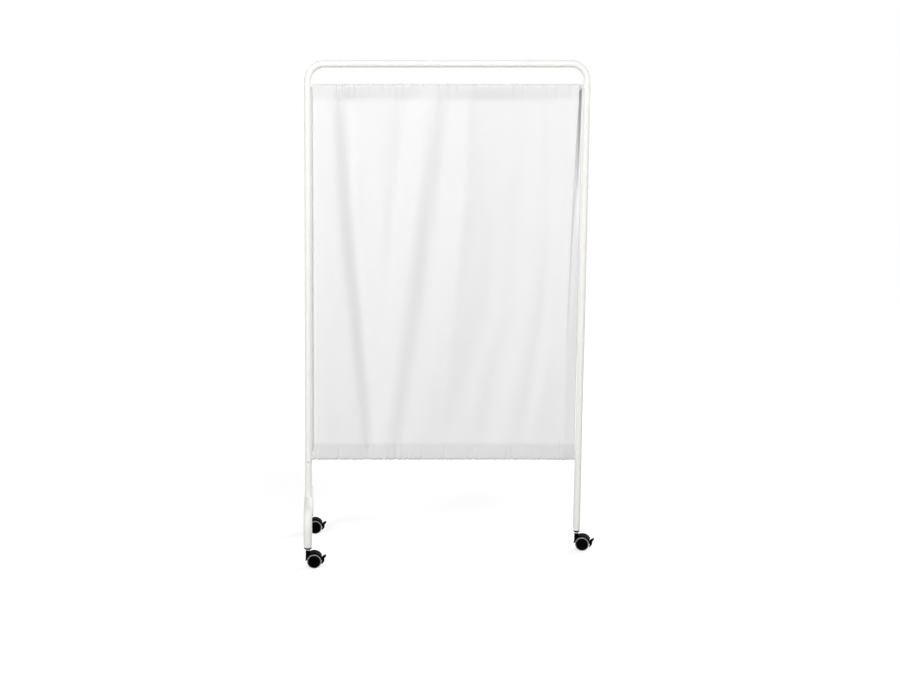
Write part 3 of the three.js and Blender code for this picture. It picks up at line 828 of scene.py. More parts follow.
# For each hem: place as a share of the width, depth, length, slant as a share of the width, and half
# width, the lengths in millimetres
CREASE_ROWS = {
    HemEnd.TOP: (
        (0.093, 3.5, 34, 0.0, 3.0), (0.1, 1.8, 85, 0.004, 7.0), (0.116, 3.2, 22, 0.0, 2.6),
        (0.164, 2.0, 34, -0.004, 5.0), (0.186, 1.4, 24, 0.0, 3.2), (0.2155, 1.6, 26, 0.004, 3.2),
        (0.265, 1.2, 34, 0.0, 6.0), (0.293, 2.1, 36, 0.0, 4.2), (0.31, 1.6, 60, 0.01, 7.0),
        (0.36, 1.6, 34, 0.03, 3.6), (0.403, 1.7, 30, 0.006, 3.6), (0.47, 2.0, 34, -0.004, 3.8),
        (0.478, 1.8, 80, -0.004, 7.0), (0.54, 1.2, 24, 0.0, 4.0), (0.602, 3.2, 34, 0.0, 2.6),
        (0.61, 1.5, 60, 0.004, 7.0), (0.68, 1.2, 24, 0.0, 4.0), (0.746, 2.5, 30, 0.002, 2.6),
        (0.779, 2.5, 30, -0.002, 2.6), (0.864, 2.4, 34, 0.002, 3.2), (0.905, 1.5, 60, 0.0, 7.0),
        (0.956, 1.8, 34, 0.0, 3.2),
    ),
    HemEnd.BOTTOM: (
        (0.015, 2.2, 60, 0.01, 5.0), (0.101, 2.4, 44, 0.004, 5.0), (0.15, 1.2, 24, 0.0, 5.0),
        (0.2, 3.2, 40, -0.014, 5.6), (0.212, 2.0, 70, 0.0, 8.0), (0.288, 3.6, 20, -0.016, 3.0),
        (0.32, 1.8, 60, 0.0, 8.0), (0.363, 2.2, 36, 0.006, 5.0), (0.42, 1.3, 24, 0.0, 5.0),
        (0.503, 1.9, 46, 0.002, 4.6), (0.592, 2.6, 26, -0.01, 3.6), (0.61, 1.6, 60, 0.006, 8.0),
        (0.68, 1.3, 24, 0.0, 5.0), (0.738, 3.2, 24, 0.004, 3.0), (0.76, 1.6, 50, 0.004, 7.0),
        (0.82, 1.2, 24, 0.0, 5.0), (0.874, 3.0, 26, 0.01, 3.4), (0.93, 2.4, 60, 0.0, 2.8),
        (0.946, 2.8, 60, -0.002, 2.8),
    ),
}
CREASES = tuple(
    Crease(hem, place, depth * MM, length * MM, slant, width * MM)
    for hem, rows in CREASE_ROWS.items()
    for place, depth, length, slant, width in rows
)

# The pleat seen from above, at a rod, in the slot near the top, below it, in the middle and low down:
# shares of the way from the pleat's edge to the leg, shares of the way back to the rods' plane, and
# shares of the recess that it runs behind that plane
PLEAT_SHAPES = tuple(np.array(shape) for shape in (
    ((0, 1 / 7, 2 / 7, 3 / 7, 4 / 7, 5 / 7, 6 / 7, 1), (0, 0.12, 0.4, 0.7, 0.95, 1, 1, 1), (0,) * 8),
    ((0, 0.03, 0.06, 0.3, 0.58, 0.7, 0.84, 1), (0, 0.4, 1, 1, 1, 0.8, 0.85, 1),
     (0, 0, 0.9, 1, 0.9, 0, 0, 0.5)),
    ((0, 0.1, 0.22, 0.42, 0.6, 0.78, 0.93, 1), (0, 0.22, 0.37, 0.52, 0.64, 0.75, 0.87, 1),
     (0,) * 7 + (0.3,)),
    ((0, 0.1, 0.22, 0.42, 0.6, 0.78, 0.93, 1), (0, 0.17, 0.32, 0.34, 0.4, 0.55, 0.74, 1),
     (0,) * 7 + (0.2,)),
    ((0, 0.06, 0.15, 0.3, 0.5, 0.75, 0.93, 1), (0, 0, 0.03, 0.18, 0.4, 0.66, 0.84, 1),
     (0,) * 7 + (0.2,)),
))


def through(path_share: tuple[float, float, float], down: Points) -> Points:
    """A curve through three values: the first at 0, the second at 0.5 and the last at 1."""
    first, centre, last = path_share
    bend = 4 * centre - first - last
    return first * (1 - down) ** 2 + bend * down * (1 - down) + last * down**2


def spline(places: Points, t: Points) -> Points:
    """A smooth line that passes near places, from the first to the last.

    Between two knots, with u from 0 to 1, it blends four neighbouring places by (1-u)^3, 3u^3-6u^2+4,
    3u^2-3u^3+3u+1 and u^3, over 6.

    Args:
        places: Rows of places.
        t: Shares of the way along.

    Returns:
        One column for each share.
    """
    padded = np.concatenate([places[:, :1]] * 2 + [places] + [places[:, -1:]] * 2, axis=1)
    reach = t * (padded.shape[1] - 3)
    first = np.minimum(reach.astype(int), padded.shape[1] - 4)
    u = reach - first
    weights = ((1 - u) ** 3, 3 * u**3 - 6 * u**2 + 4, 3 * u**2 - 3 * u**3 + 3 * u + 1, u**3)
    return sum(weight * padded[:, first + step] for step, weight in enumerate(weights)) / 6


def smooth_step(value: Points, low: float, high: float) -> Points:
    """0 below low, 1 above high, and t^2 (3 - 2t) between."""
    t = np.clip((value - low) / (high - low), 0, 1)
    return t * t * (3 - 2 * t)


@dataclass
class ClothRows:
    """One value for each row of the cloth, from the back of the top hem, over the rod, down the front,
    under the lower rod and up the back of the bottom hem.

    Attributes:
        y: Place before folds.
        z: Height.
        out_y: The way out of the cloth's front, or of the pocket, along Y.
        out_z: The same along Z.
        down: Share of the way down between the two seams.
        sway: Share of the folds that the row follows.
        from_top: Distance below the top rod.
        from_bottom: Distance above the bottom rod.
        layers: Painted shade on the hems, from 0 to 1: for the light that their double cloth lets through
            less, and strongest where the top turn tilts halfway up to the lamps.
    """

    y: Points
    z: Points
    out_y: Points
    out_z: Points
    down: Points
    sway: Points
    from_top: Points
    from_bottom: Points
    layers: Points

    def near(self) -> Points:
        """Distance to the nearer rod, as a column."""
        return np.minimum(self.from_top, self.from_bottom)[:, None]


@dataclass(frozen=True)
class HangingCurtain:
    """The hemmed cloth between the two rods.

    Attributes:
        hem: Height of each hem.
        tail: How far a hem's turned edge runs past its seam.
        thickness: Thickness of the cloth.
        rod: Radius of the rods.
        ease: Room between the rod and the cloth, at a crease's bottom.
        puff: How far the gathered cloth stands off beyond that, between creases.
        puff_reach: How far from a rod that fades.
        fold: Depth of a full fold.
        pleat: How far the pleat stands forward.
        pleat_hold: Distance from a rod past which it stands forward fully.
        pleat_share: The pleat's front edge at the top, middle and bottom, as shares of the width.
        recess: How far the slot beside the pleat runs back, near the top.
        slot_length: How far down the slot runs.
        slot_end: Distances below the top rod between which the cloth under the slot changes shape.
        clear_span: Distances from a rod between which the cloth gets free of it at its sides.
        edge_roll: How far the left edge curls back beside the leg.
        edge_width: Width of that curl.
        bulge: How far the cloth beside the pleat stands forward, lower down.
        held_sway: Share of the folds that is left at a seam.
        ripple: Height of the small ripples round the rods.
        ripple_reach: How far from a rod they fade.
        ripples: How many waves they are the sum of.
        swell: Height of one of the cloth's broad shallow waves.
        swells: How many of those there are.
        body_rows: Rows between the seams.
        columns: Columns up to the pleat.
        pleat_columns: Columns in the pleat.
        stitch: Length of a stitch.
        stitch_gap: Space between stitches.
        thread: Radius of the sewing thread.
    """

    hem: float = 47 * MM
    tail: float = 2.5 * MM
    thickness: float = 0.5 * MM
    rod: float = 5 * MM
    ease: float = 1.1 * MM
    puff: float = 2.6 * MM
    puff_reach: float = 26 * MM
    fold: float = 15 * MM
    pleat: float = 13 * MM
    pleat_hold: float = 60 * MM
    pleat_share: tuple[float, float, float] = (0.983, 0.961, 0.951)
    recess: float = 22 * MM
    slot_length: float = 360 * MM
    slot_end: tuple[float, float] = (400 * MM, 620 * MM)
    clear_span: tuple[float, float] = (5 * MM, 20 * MM)
    edge_roll: float = 7 * MM
    edge_width: float = 9 * MM
    bulge: float = 14 * MM
    held_sway: float = 0.36
    ripple: float = 0.7 * MM
    ripple_reach: float = 18 * MM
    ripples: int = 9
    swell: float = 0.35 * MM
    swells: int = 10
    body_rows: int = 44
    columns: int = 430
    pleat_columns: int = 32
    stitch: float = 2.6 * MM
    stitch_gap: float = 0.9 * MM
    thread: float = 0.22 * MM

    def edges(self) -> tuple[float, float]:
        """X of the cloth's left and right edges."""
        low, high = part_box("curtain")
        return low.x, high.x

    def rod_heights(self) -> tuple[float, float]:
        """Heights of the top and bottom rods."""
        return float(middle("curtain_rod_top")[2]), float(middle("curtain_rod_bottom")[2])

    def seams(self) -> tuple[float, float]:
        """Heights of the top and bottom seams."""
        low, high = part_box("curtain")
        return high.z - self.hem, low.z + self.hem

    def rows(self) -> ClothRows:
        """Works out the rows.

        A hem runs in two straight plies from the seam to the rod and in a half circle round it.
        Between the seams the cloth hangs straight, with rows that are closer near the seams.

        Returns:
            The rows, from the back of the top hem to the back of the bottom hem.
        """
        top, bottom = self.rod_heights()
        seam_top, seam_bottom = self.seams()
        radius = self.rod + self.ease + self.thickness / 2
        gap = 0.55 * self.thickness
        share = np.array([0.0, 0.03, 0.08, 0.2, 0.4, 0.65, 0.85])
        turn = np.linspace(0, np.pi, 15)

        def layer(rod: float, seam: float, side: int) -> Points:
            """A hem's back or front layer, from the seam to the rod."""
            start = gap if side > 0 else 0.0
            y, z = side * (start + (radius - start) * share), seam + (rod - seam) * share
            return np.stack([y, z, side + 0 * share, 0 * share, share, 0 * share])

        def over(rod: float, upward: int) -> Points:
            """The half circle round a rod, from the back to the front."""
            y, z = np.cos(turn), upward * np.sin(turn)
            return np.stack([radius * y, rod + radius * z, y, z, 0 * turn + 1, 0 * turn])

        def tail(height: float) -> Points:
            """A hem's turned edge."""
            return np.array([[gap], [height], [1.0], [0.0], [0.0], [0.0]])

        pace = np.linspace(0, 1, self.body_rows + 2)[1:-1]
        pace = 0.55 * pace + 0.45 * (1 - np.cos(np.pi * pace)) / 2
        drop = seam_top + (seam_bottom - seam_top) * pace
        body = np.stack([0 * pace, drop, 0 * pace - 1, 0 * pace, 0 * pace, 0 * pace + 1])
        pieces = [
            tail(seam_top - self.tail), layer(top, seam_top, 1), over(top, 1),
            layer(top, seam_top, -1)[:, ::-1],
            body, layer(bottom, seam_bottom, -1), over(bottom, -1)[:, ::-1],
            layer(bottom, seam_bottom, 1)[:, ::-1], tail(seam_bottom + self.tail),
        ]
        y, z, out_y, out_z, held, single = np.concatenate(pieces, axis=1)
        down = np.clip((seam_top - z) / (seam_top - seam_bottom), 0, 1)
        free = self.held_sway + (1 - self.held_sway) * np.sqrt(np.sin(np.pi * down))
        sway = np.where(single > 0, free, self.held_sway * (1 - held) ** 1.5)
        up, under = np.maximum(out_z, 0), np.maximum(-out_z, 0)
        # Painted shade on the hems: the top hem a little darker, most where its turn round the rod tilts
        # halfway up towards the lamps and not at its crest; the bottom hem darker except on the underside of
        # its turn. The cloth between the seams gets none.
        hem_shade_share = np.where(down < 0.5, 0.22 + 0.4 * np.sin(np.pi * up) - 0.22 * up**4, 0.75 * (1 - under))
        layers = (1 - single) * hem_shade_share
        from_top, from_bottom = np.maximum(top - z, 0), np.maximum(z - bottom, 0)
        return ClothRows(y, z, out_y, out_z, down, sway, from_top, from_bottom, layers)

    def offsets(self, across: Points, rows: ClothRows) -> tuple[Points, Points]:
        """How far the cloth stands back in its folds, and out in its ripples and creases.

        A fold is a bell curve across the cloth, round a line that slants down it. A crease is a
        narrower bell that fades with the distance from its rod. Ripples and wrinkles are sums of
        sines with seeded phases.

        Args:
            across: Shares of the width, rows by columns.
            rows: The rows.

        Returns:
            The offset along Y and the offset outwards, in metres.
        """
        left, right = self.edges()
        down = rows.down[:, None]
        back = np.zeros_like(across)
        for fold in FOLDS:
            away = (across - through(fold.path_share, down)) / fold.width_share
            back += self.fold * fold.depth_share * np.exp(-(away**2))
        chance = np.random.default_rng(SEED)
        for _ in range(self.swells):
            waves, tilt = chance.uniform(4, 13), chance.uniform(-2.5, 2.5)
            phase = chance.uniform(0, 2 * np.pi)
            back += self.swell * np.sin(2 * np.pi * (waves * across + tilt * down) + phase)
        out = np.zeros_like(across)
        for _ in range(self.ripples):
            waves, phase = chance.uniform(24, 85), chance.uniform(0, 2 * np.pi)
            out += self.ripple * 0.28 * np.sin(2 * np.pi * waves * across + phase)
        near = rows.near()
        out = out * np.exp(-near / self.ripple_reach) + self.puff * np.exp(-((near / self.puff_reach) ** 2))
        for crease in CREASES:
            along = (rows.from_top if crease.hem is HemEnd.TOP else rows.from_bottom)[:, None] / crease.length
            centre = crease.place_share + crease.slant_share * along
            away = (across - centre) * (right - left) / crease.width
            shape = (1 - 0.9 * away**2) * np.exp(-(away**2) / 1.6)
            out -= crease.depth * shape * np.exp(-(along**2) * 1.4)
        held = np.abs(rows.z[:, None] - np.where(down < 0.5, *self.rod_heights())) < 2 * self.rod
        return back, np.where(held, np.maximum(out, 0.2 * MM - self.ease), out)

    def points(self, before: Points, turn: Points) -> Points:
        """The cloth's points.

        Up to the pleat, X runs evenly to the pleat's edge. Beyond it a row follows a spline, seen from
        above. Near the top it runs back into a narrow slot and out again beside the leg; lower down
        it runs over one more soft fold and then back to the leg. Away from the rods, the left edge
        curls back by a bell curve.

        Args:
            before: Share of the way to the pleat for each column.
            turn: Share of the way along the pleat's curve for each column, 0 up to the pleat.

        Returns:
            Points, rows by columns.
        """
        rows = self.rows()
        left, right = self.edges()
        edge_share = through(self.pleat_share, rows.down[:, None])
        pleat_x = left + (right - left) * edge_share
        across = edge_share * before
        back, out = self.offsets(across, rows)
        lean = self.bulge * np.sin(np.pi * rows.down[:, None] ** 2) * smooth_step(across, 0.75, 0.97)
        hold = 0.5 + 0.5 * smooth_step(rows.near(), 0.0, self.pleat_hold)
        front_layer = np.where(rows.out_y < 0.2, 1.0, 0.0)[:, None]
        rise = self.pleat * hold * (before**14 - 0.2 * before**60) * front_layer
        clear = smooth_step(rows.near(), *self.clear_span)
        roll = self.edge_roll * clear * np.exp(-((across * (right - left) / self.edge_width) ** 2))
        y = rows.y[:, None] + rows.sway[:, None] * back + out * rows.out_y[:, None] - lean - rise + roll
        z = rows.z[:, None] + out * rows.out_z[:, None]
        x = left + (pleat_x - left) * before + 0 * y
        last = np.count_nonzero(turn == 0) - 1
        edge_y = y[:, last, None]
        slot = np.exp(-((rows.from_top[:, None] / self.slot_length) ** 3))
        low = smooth_step(rows.down[:, None], 0.5, 0.85)
        below = 1 - smooth_step(rows.from_top[:, None], *self.slot_end)
        lower = (below, (1 - below) * (1 - low), (1 - below) * low)
        weights = (1 - clear, clear * slot, *(clear * (1 - slot) * share for share in lower))
        sideways, backwards, behind = (
            sum(weight * shape[k] for weight, shape in zip(weights, PLEAT_SHAPES)) for k in range(3)
        )
        line_x = pleat_x + (right - pleat_x) * sideways
        line_y = edge_y + (rows.y[:, None] - edge_y) * backwards + self.recess * behind
        beyond = turn > 0
        x[:, beyond] = spline(line_x, turn[beyond])
        y[:, beyond] = spline(line_y, turn[beyond])
        return as_points(x, y, z)

    def build(self) -> None:
        """Makes the cloth, gives it coordinates along its threads, and sews its two seams."""
        before = np.concatenate([np.linspace(0, 1, self.columns), np.ones(self.pleat_columns)])
        turn = np.concatenate([np.zeros(self.columns), np.linspace(0, 1, self.pleat_columns + 1)[1:]])
        points = self.points(before, turn)
        rows, columns = points.shape[:2]
        surface = Surface(points.reshape(-1, 3), grid_quads(rows, columns, False, False)[:, ::-1])
        cloth = add_piece("curtain_cloth_sheet", surface, CLOTH, "root", ["curtain"], sharp=180.0)
        self.lay_threads(cloth, points)
        solidify = cloth.modifiers.new("thickness", "SOLIDIFY")
        solidify.thickness = self.thickness
        solidify.offset = 0
        seams = add_piece("hem_stitches", self.stitches(), THREAD, "root", [])

    def lay_threads(self, cloth: bpy.types.Object, points: Points) -> None:
        """Gives the cloth a UV map in metres along its own threads, and an attribute with the painted shade
        of its hems.

        Args:
            cloth: The cloth.
            points: Its points, rows by columns.
        """
        rows, columns = points.shape[:2]
        step = np.linalg.norm(np.diff(points, axis=1), axis=2).mean(axis=0)
        u = np.broadcast_to(np.concatenate([[0], np.cumsum(step)]), (rows, columns))
        step = np.linalg.norm(np.diff(points, axis=0), axis=2).mean(axis=1)
        v = np.broadcast_to(np.concatenate([[0], np.cumsum(step)])[:, None], (rows, columns))
        corner = np.zeros(len(cloth.data.loops), np.int32)
        cloth.data.loops.foreach_get("vertex_index", corner)
        uv = cloth.data.uv_layers.new(name="cloth")
        uv.data.foreach_set("uv", np.stack([u.ravel()[corner], v.ravel()[corner]], axis=-1).ravel())
        layers = cloth.data.attributes.new("layers", "FLOAT", "POINT")
        layers.data.foreach_set("value", np.repeat(self.rows().layers, columns).astype(np.float32))

    def stitches(self) -> Surface:
        """The two rows of stitches, on the front of the cloth and on its back.

        Every stitch is a small spindle: its radius is a sine of the way along it.

        Returns:
            All the stitches.
        """
        left, right = self.edges()
        count = int((right - left) / (self.stitch + self.stitch_gap))
        points = self.points(np.linspace(0.002, 0.985, count), np.zeros(count))
        rows = self.rows()
        spindle = np.linspace(0, np.pi, 5)[:, None]
        around = (np.arange(6) * np.pi / 3)[None]
        along = -np.cos(spindle) * self.stitch / 2 + 0 * around
        thick = self.thread * (0.25 + 0.75 * np.sin(spindle))
        made = []
        for seam in self.seams():
            for out_y in (-1.0, 1.0):
                matching = np.where(rows.out_y * out_y > 0.5, np.abs(rows.z - seam), np.inf)
                centre = points[int(np.argmin(matching))]
                tangent = np.gradient(centre, axis=0)
                tangent /= np.linalg.norm(tangent, axis=1)[:, None]
                outward = np.stack([-tangent[:, 1], tangent[:, 0], 0 * tangent[:, 0]], axis=-1) * out_y
                lift = centre + outward * (self.thickness / 2 + 0.05 * MM)
                loops = (lift[:, None, None] + along[None, ..., None] * tangent[:, None, None]
                         + (thick * np.cos(around))[None, ..., None] * outward[:, None, None]
                         + (thick * np.sin(around))[None, ..., None] * np.array([0.0, 0.0, 1.0]))
                loops = loops[:, :, ::-1] if out_y > 0 else loops
                made.extend(loops_surface(stitch, False) for stitch in loops)
        return together(*made)


# ---- Casters ----


@dataclass(frozen=True)
class CasterSizes:
    """Sizes of one caster; heights are above the floor and reaches are from the stem's axis.

    Attributes:
        trail: Reach of the axle.
        wheel: Radius of the wheels, and height of the axle.
        outer_face: Distance of a wheel's outer face from the caster's middle.
        inner_face: Distance of its inner face.
        tyre: Depth of the tyre.
        tyre_width: Width of the tyre.
        stem: Radius of the stem.
        boss: Radius of the boss.
        boss_low: Height of the boss's lower end.
        housing_top: Height of the boss's top.
        fender_inner: Inner radius of the fender.
        fender: Thickness of the fender.
        fender_half: Half width of the fender.
        fender_start: Angle of its front end above level, in degrees.
        fender_end: Angle of its back end.
        web_half: Half thickness of the web.
        web_hub: Radius of the web round the axle.
        pin_out: Reach of the lever's pin from the axle.
        pin_up: Its height above the axle.
    """

    trail: float = 22 * MM
    wheel: float = 25 * MM
    outer_face: float = 23 * MM
    inner_face: float = 6.5 * MM
    tyre: float = 4.2 * MM
    tyre_width: float = 12 * MM
    stem: float = 5 * MM
    boss: float = 7.75 * MM
    boss_low: float = 26 * MM
    housing_top: float = 60 * MM
    fender_inner: float = 27.5 * MM
    fender: float = 3 * MM
    fender_half: float = 21.5 * MM
    fender_start: float = 28.0
    fender_end: float = 176.0
    web_half: float = 6 * MM
    web_hub: float = 13 * MM
    pin_out: float = 20.5 * MM
    pin_up: float = 3 * MM

    @property
    def bore(self) -> float:
        """Radius of the holes that the stem goes through."""
        return self.stem + FIT


@dataclass(frozen=True)
class SwivelCaster:
    """A twin-wheel caster with a brake, and the insert that holds it in a tube's end.

    Attributes:
        name: Which caster, as the frame names it.
        tube: Outer radius of the tube that it fits.
        sizes: Its sizes.
    """

    name: str
    tube: float
    sizes: CasterSizes = CasterSizes()

    def carried(self, surface: Surface) -> Surface:
        """Moves a shape from the caster's own axes to where the caster stands.

        The shape's X runs from the stem to the axle, its Y along the axle and its Z up.
        """
        joints = {joint["name"]: joint for joint in frame["joints"]}
        stem = np.array(joints[f"{self.name}_swivel"]["pos_m"]) * np.array([1, 1, 0])
        across = np.array(joints[f"{self.name}_near_roll"]["axis"], float)
        out = np.array([across[1], -across[0], 0.0])
        x, y, z = surface.points.T
        points = stem + x[:, None] * out + y[:, None] * across + z[:, None] * np.array([0, 0, 1.0])
        return Surface(points, surface.quads, surface.lids)

    def add(self, name: str, surface: Surface, finish: Finish, body: str, stands_for: str) -> None:
        """Adds one of the caster's pieces, in its own axes."""
        node = f"{stands_for}_{self.name}" if not stands_for.endswith(("near", "far")) else stands_for
        add_piece(name, self.carried(surface), finish, body, [node])

    def build(self) -> None:
        """Makes every piece of the caster."""
        self.insert()
        self.dust_ring()
        self.stem()
        self.housing()
        self.axle_and_pin()
        for side, end in ((1, "near"), (-1, "far")):
            self.wheel(side, end)
        self.brake_lever()

    def insert(self) -> None:
        """The white insert: a flange with a tapered, rounded rim under the tube, and its shank."""
        low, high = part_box(f"insert_{self.name}")
        bore = self.sizes.bore
        shank = self.tube - 1.8 * MM
        flange = self.tube - 0.5 * MM
        end = low.z + 7.7 * MM
        ring = rounded([(bore, low.z), (flange - 2.2 * MM, low.z), (flange, low.z + 3.4 * MM), (flange, end),
                        (shank, end), (shank, high.z), (bore, high.z)],
                       [0.3 * MM, 1.2 * MM, 2 * MM, 0.4 * MM, 0.2 * MM, 0.6 * MM, 0.3 * MM], closed=True)
        self.add(f"tube_insert_{self.name}", lathe(ring, 64, closed=True), WHITE_PLASTIC, "root", "insert")

    def dust_ring(self) -> None:
        """The black ring under the insert, narrower at the bottom."""
        low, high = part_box(f"dust_ring_{self.name}")
        bore = self.sizes.bore
        outer = self.tube - 1.4 * MM
        ring = rounded([(bore, low.z), (outer - 2.6 * MM, low.z), (outer, low.z + 2.2 * MM), (outer, high.z),
                        (bore, high.z)],
                       [0.2 * MM, 0.8 * MM, 0.9 * MM, 0.4 * MM, 0.2 * MM], closed=True)
        self.add(f"collar_ring_{self.name}", lathe(ring, 64, closed=True), BLACK_PLASTIC, "root", "dust_ring")

    def stem(self) -> None:
        """The stem, with a groove just above the housing and chamfered ends."""
        low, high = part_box(f"stem_{self.name}")
        r, groove = self.sizes.stem, self.sizes.stem - 0.6 * MM
        at = self.sizes.housing_top + 2.2 * MM
        cut, half = 1.2 * MM, 0.7 * MM
        profile = rounded([(r - cut, low.z), (r, low.z + cut), (r, at - half), (groove, at - half),
                           (groove, at + half), (r, at + half), (r, high.z - cut), (r - cut, high.z)],
                          0.25 * MM)
        self.add(f"swivel_stem_{self.name}", lathe(profile, 48), ZINC, "root", "stem")

    def arc(self, radius: float, start: float, end: float, count: int = 40) -> Points:
        """Points on a circle round the axle, in X and Z, between two angles in degrees."""
        turn = np.radians(np.linspace(start, end, count))
        s = self.sizes
        return np.stack([s.trail + radius * np.cos(turn), s.wheel + radius * np.sin(turn)], axis=-1)

    def housing(self) -> None:
        """The housing: fender over the wheels, web between them, ears for the pin, and the boss."""
        s = self.sizes
        outer, inner = s.fender_inner + s.fender, s.fender_inner
        fender_line = np.concatenate([self.arc(outer, s.fender_start, s.fender_end),
                                      self.arc(inner, s.fender_end, s.fender_start)])
        fender = slab(fender_line, s.fender_half, 1.1 * MM)
        lip_line = np.concatenate([self.arc(outer + 0.35 * MM, s.fender_start + 1.5, s.fender_end - 1.5),
                                   self.arc(outer - 1 * MM, s.fender_end - 1.5, s.fender_start + 1.5)])
        lip = slab(lip_line, 0.9 * MM, 0.35 * MM)
        lips = [shifted(lip, y=side * (s.fender_half - 1.6 * MM)) for side in (-1, 1)]
        web_line = np.concatenate([self.arc(inner + 1.5 * MM, s.fender_start, s.fender_end),
                                   self.arc(s.web_hub, 180, 360, 24)])
        web = slab(web_line, s.web_half, 0.5 * MM)
        eye = self.arc(0.0, 0, 0, 1) + np.array([s.pin_out, s.pin_up])
        turn = np.linspace(0, 2 * np.pi, 33)[:-1]
        ear_line = eye + 5 * MM * np.stack([np.cos(turn), np.sin(turn)], axis=-1)
        ear = slab(ear_line, 0.85 * MM, 0.3 * MM)
        ears = [shifted(ear, y=side * (s.web_half - 0.85 * MM)) for side in (-1, 1)]
        profile = rounded([(s.bore, s.boss_low), (s.boss, s.boss_low), (s.boss, s.housing_top),
                           (s.stem + 1.0 * MM, s.housing_top), (s.bore, s.housing_top - 0.8 * MM)],
                          [0.2 * MM, 1 * MM, 1.2 * MM, 0.3 * MM, 0.3 * MM], closed=True)
        boss = lathe(profile, 64, closed=True)
        surface = together(fender, *lips, web, *ears, boss)
        self.add(f"wheel_housing_{self.name}", surface, BLACK_PLASTIC, f"caster_{self.name}", "housing")

    def axle_and_pin(self) -> None:
        """The axle and the lever's pin, both plain bars with chamfered ends."""
        s = self.sizes
        for name, stands_for, radius, half, x, z in (
            ("wheel_axle", "axle", 3 * MM, s.outer_face - 3 * MM, s.trail, s.wheel),
            ("brake_pin", "lever_pin", 2 * MM, s.web_half - 0.3 * MM, s.trail + s.pin_out,
             s.wheel + s.pin_up),
        ):
            cut = 0.5 * MM
            profile = np.array([(radius - cut, -half), (radius, cut - half),
                                (radius, half - cut), (radius - cut, half)])
            bar = shifted(about_y(lathe(profile, 40)), x, 0, z)
            self.add(f"{name}_{self.name}", bar, ZINC, f"caster_{self.name}", stands_for)

    def wheel(self, side: int, end: str) -> None:
        """One wheel: a hub with a dished, ringed face, and a crowned tyre round it.

        Args:
            side: 1 for the wheel on the -Y side, -1 for the other.
            end: The same, as the frame names it.
        """
        s = self.sizes
        rim = s.wheel - s.tyre
        face = s.outer_face
        disc = rim + 0.3 * MM
        hub_line = rounded(
            [(3.3 * MM, s.inner_face), (6.5 * MM, s.inner_face), (6.5 * MM, s.inner_face + 8 * MM),
             (rim - 3.3 * MM, s.inner_face + 8 * MM), (rim - 3.3 * MM, s.inner_face), (disc, s.inner_face),
             (disc, face - 13.9 * MM), (rim - 0.3 * MM, face - 13.9 * MM), (rim - 0.3 * MM, face - 1.3 * MM),
             (disc + 0.7 * MM, face - 1.3 * MM), (disc - 0.8 * MM, face - 0.15 * MM), (disc - 3.2 * MM, face),
             (disc - 4.0 * MM, face - 0.9 * MM), (7.6 * MM, face - 1.1 * MM), (6.8 * MM, face - 0.35 * MM),
             (0.4 * MM, face)],
            [0.2 * MM, 0.3 * MM, 0.6 * MM, 0.6 * MM, 0.4 * MM, 0.3 * MM, 0.1 * MM, 0.1 * MM,
             0.1 * MM, 0.25 * MM, 0.7 * MM, 0.5 * MM, 0.5 * MM, 0.5 * MM, 0.4 * MM, 0.2 * MM])
        body = f"wheel_{self.name}_{end}"
        hub = shifted(about_y(lathe(hub_line, 72), side), s.trail, 0, s.wheel)
        self.add(f"wheel_hub_{self.name}_{end}", hub, BLACK_PLASTIC, body, f"hub_{self.name}_{end}")
        far = face - 1.6 * MM
        near = far - s.tyre_width
        tyre_line = rounded([(rim, near), (s.wheel - 2.4 * MM, near), (s.wheel, near + 2.6 * MM),
                             (s.wheel, far - 2.6 * MM), (s.wheel - 2.4 * MM, far), (rim, far)],
                            [0.2 * MM, 1.4 * MM, 2.4 * MM, 2.4 * MM, 1.4 * MM, 0.2 * MM],
                            closed=True, steps=6)
        tyre = shifted(about_y(lathe(tyre_line, 96, closed=True), side), s.trail, 0, s.wheel)
        self.add(f"wheel_tyre_{self.name}_{end}", tyre, TYRE_RUBBER, body, f"tyre_{self.name}_{end}")

    def brake_lever(self) -> None:
        """The brake lever: a curved pad over both treads, a ribbed tab, a neck and an eye on the pin."""
        s = self.sizes
        pad_inner, reach = s.wheel + 2 * MM, 36 * MM
        top, bottom, tab = 12.5 * MM, -10.5 * MM, 4.5 * MM
        angles = np.linspace(math.asin((top - tab) / pad_inner), math.asin(bottom / pad_inner), 14)
        hollow = pad_inner * np.stack([np.cos(angles), np.sin(angles)], axis=-1)
        blunt = 0.9 * MM
        inward = hollow[-1] / pad_inner
        turn = np.linspace(np.pi, 2 * np.pi, 7)[1:-1, None] + math.atan2(inward[1], inward[0])
        end = hollow[-1] + blunt * inward + blunt * np.concatenate([np.cos(turn), np.sin(turn)], axis=1)
        t = np.linspace(0, 1, 12)[:, None]
        start = hollow[-1] + 2 * blunt * inward
        pull, stop = np.array([reach, bottom / 2]), np.array([reach, top - 2 * tab])
        belly = (1 - t) ** 2 * start + 2 * t * (1 - t) * pull + t**2 * stop
        root = reach * math.cos(math.asin(top / reach)) - tab
        tip = rounded([(reach, top - 2 * tab), (reach, top - tab / 2), (42 * MM, 17.5 * MM - tab / 2),
                       (42 * MM - tab / 4, 17.5 * MM + tab / 4), (root, top), tuple(hollow[0])],
                      [0.0, 2 * MM, 1.2 * MM, 1.2 * MM, 2 * MM, 0.0])
        outline = np.concatenate([hollow, end, belly, tip[1:-1]])
        centre = np.array([s.trail, s.wheel])
        pad = slab(outline + centre, 11 * MM, 0.6 * MM)
        neck_line = rounded([(s.pin_out - 4.5 * MM, s.pin_up - 4.5 * MM), (31.5 * MM, s.pin_up - 4.5 * MM),
                             (31.5 * MM, s.pin_up + 4.5 * MM), (s.pin_out - 4.5 * MM, s.pin_up + 4.5 * MM)],
                            [4.4 * MM, 0.3 * MM, 0.3 * MM, 4.4 * MM], closed=True, steps=8)
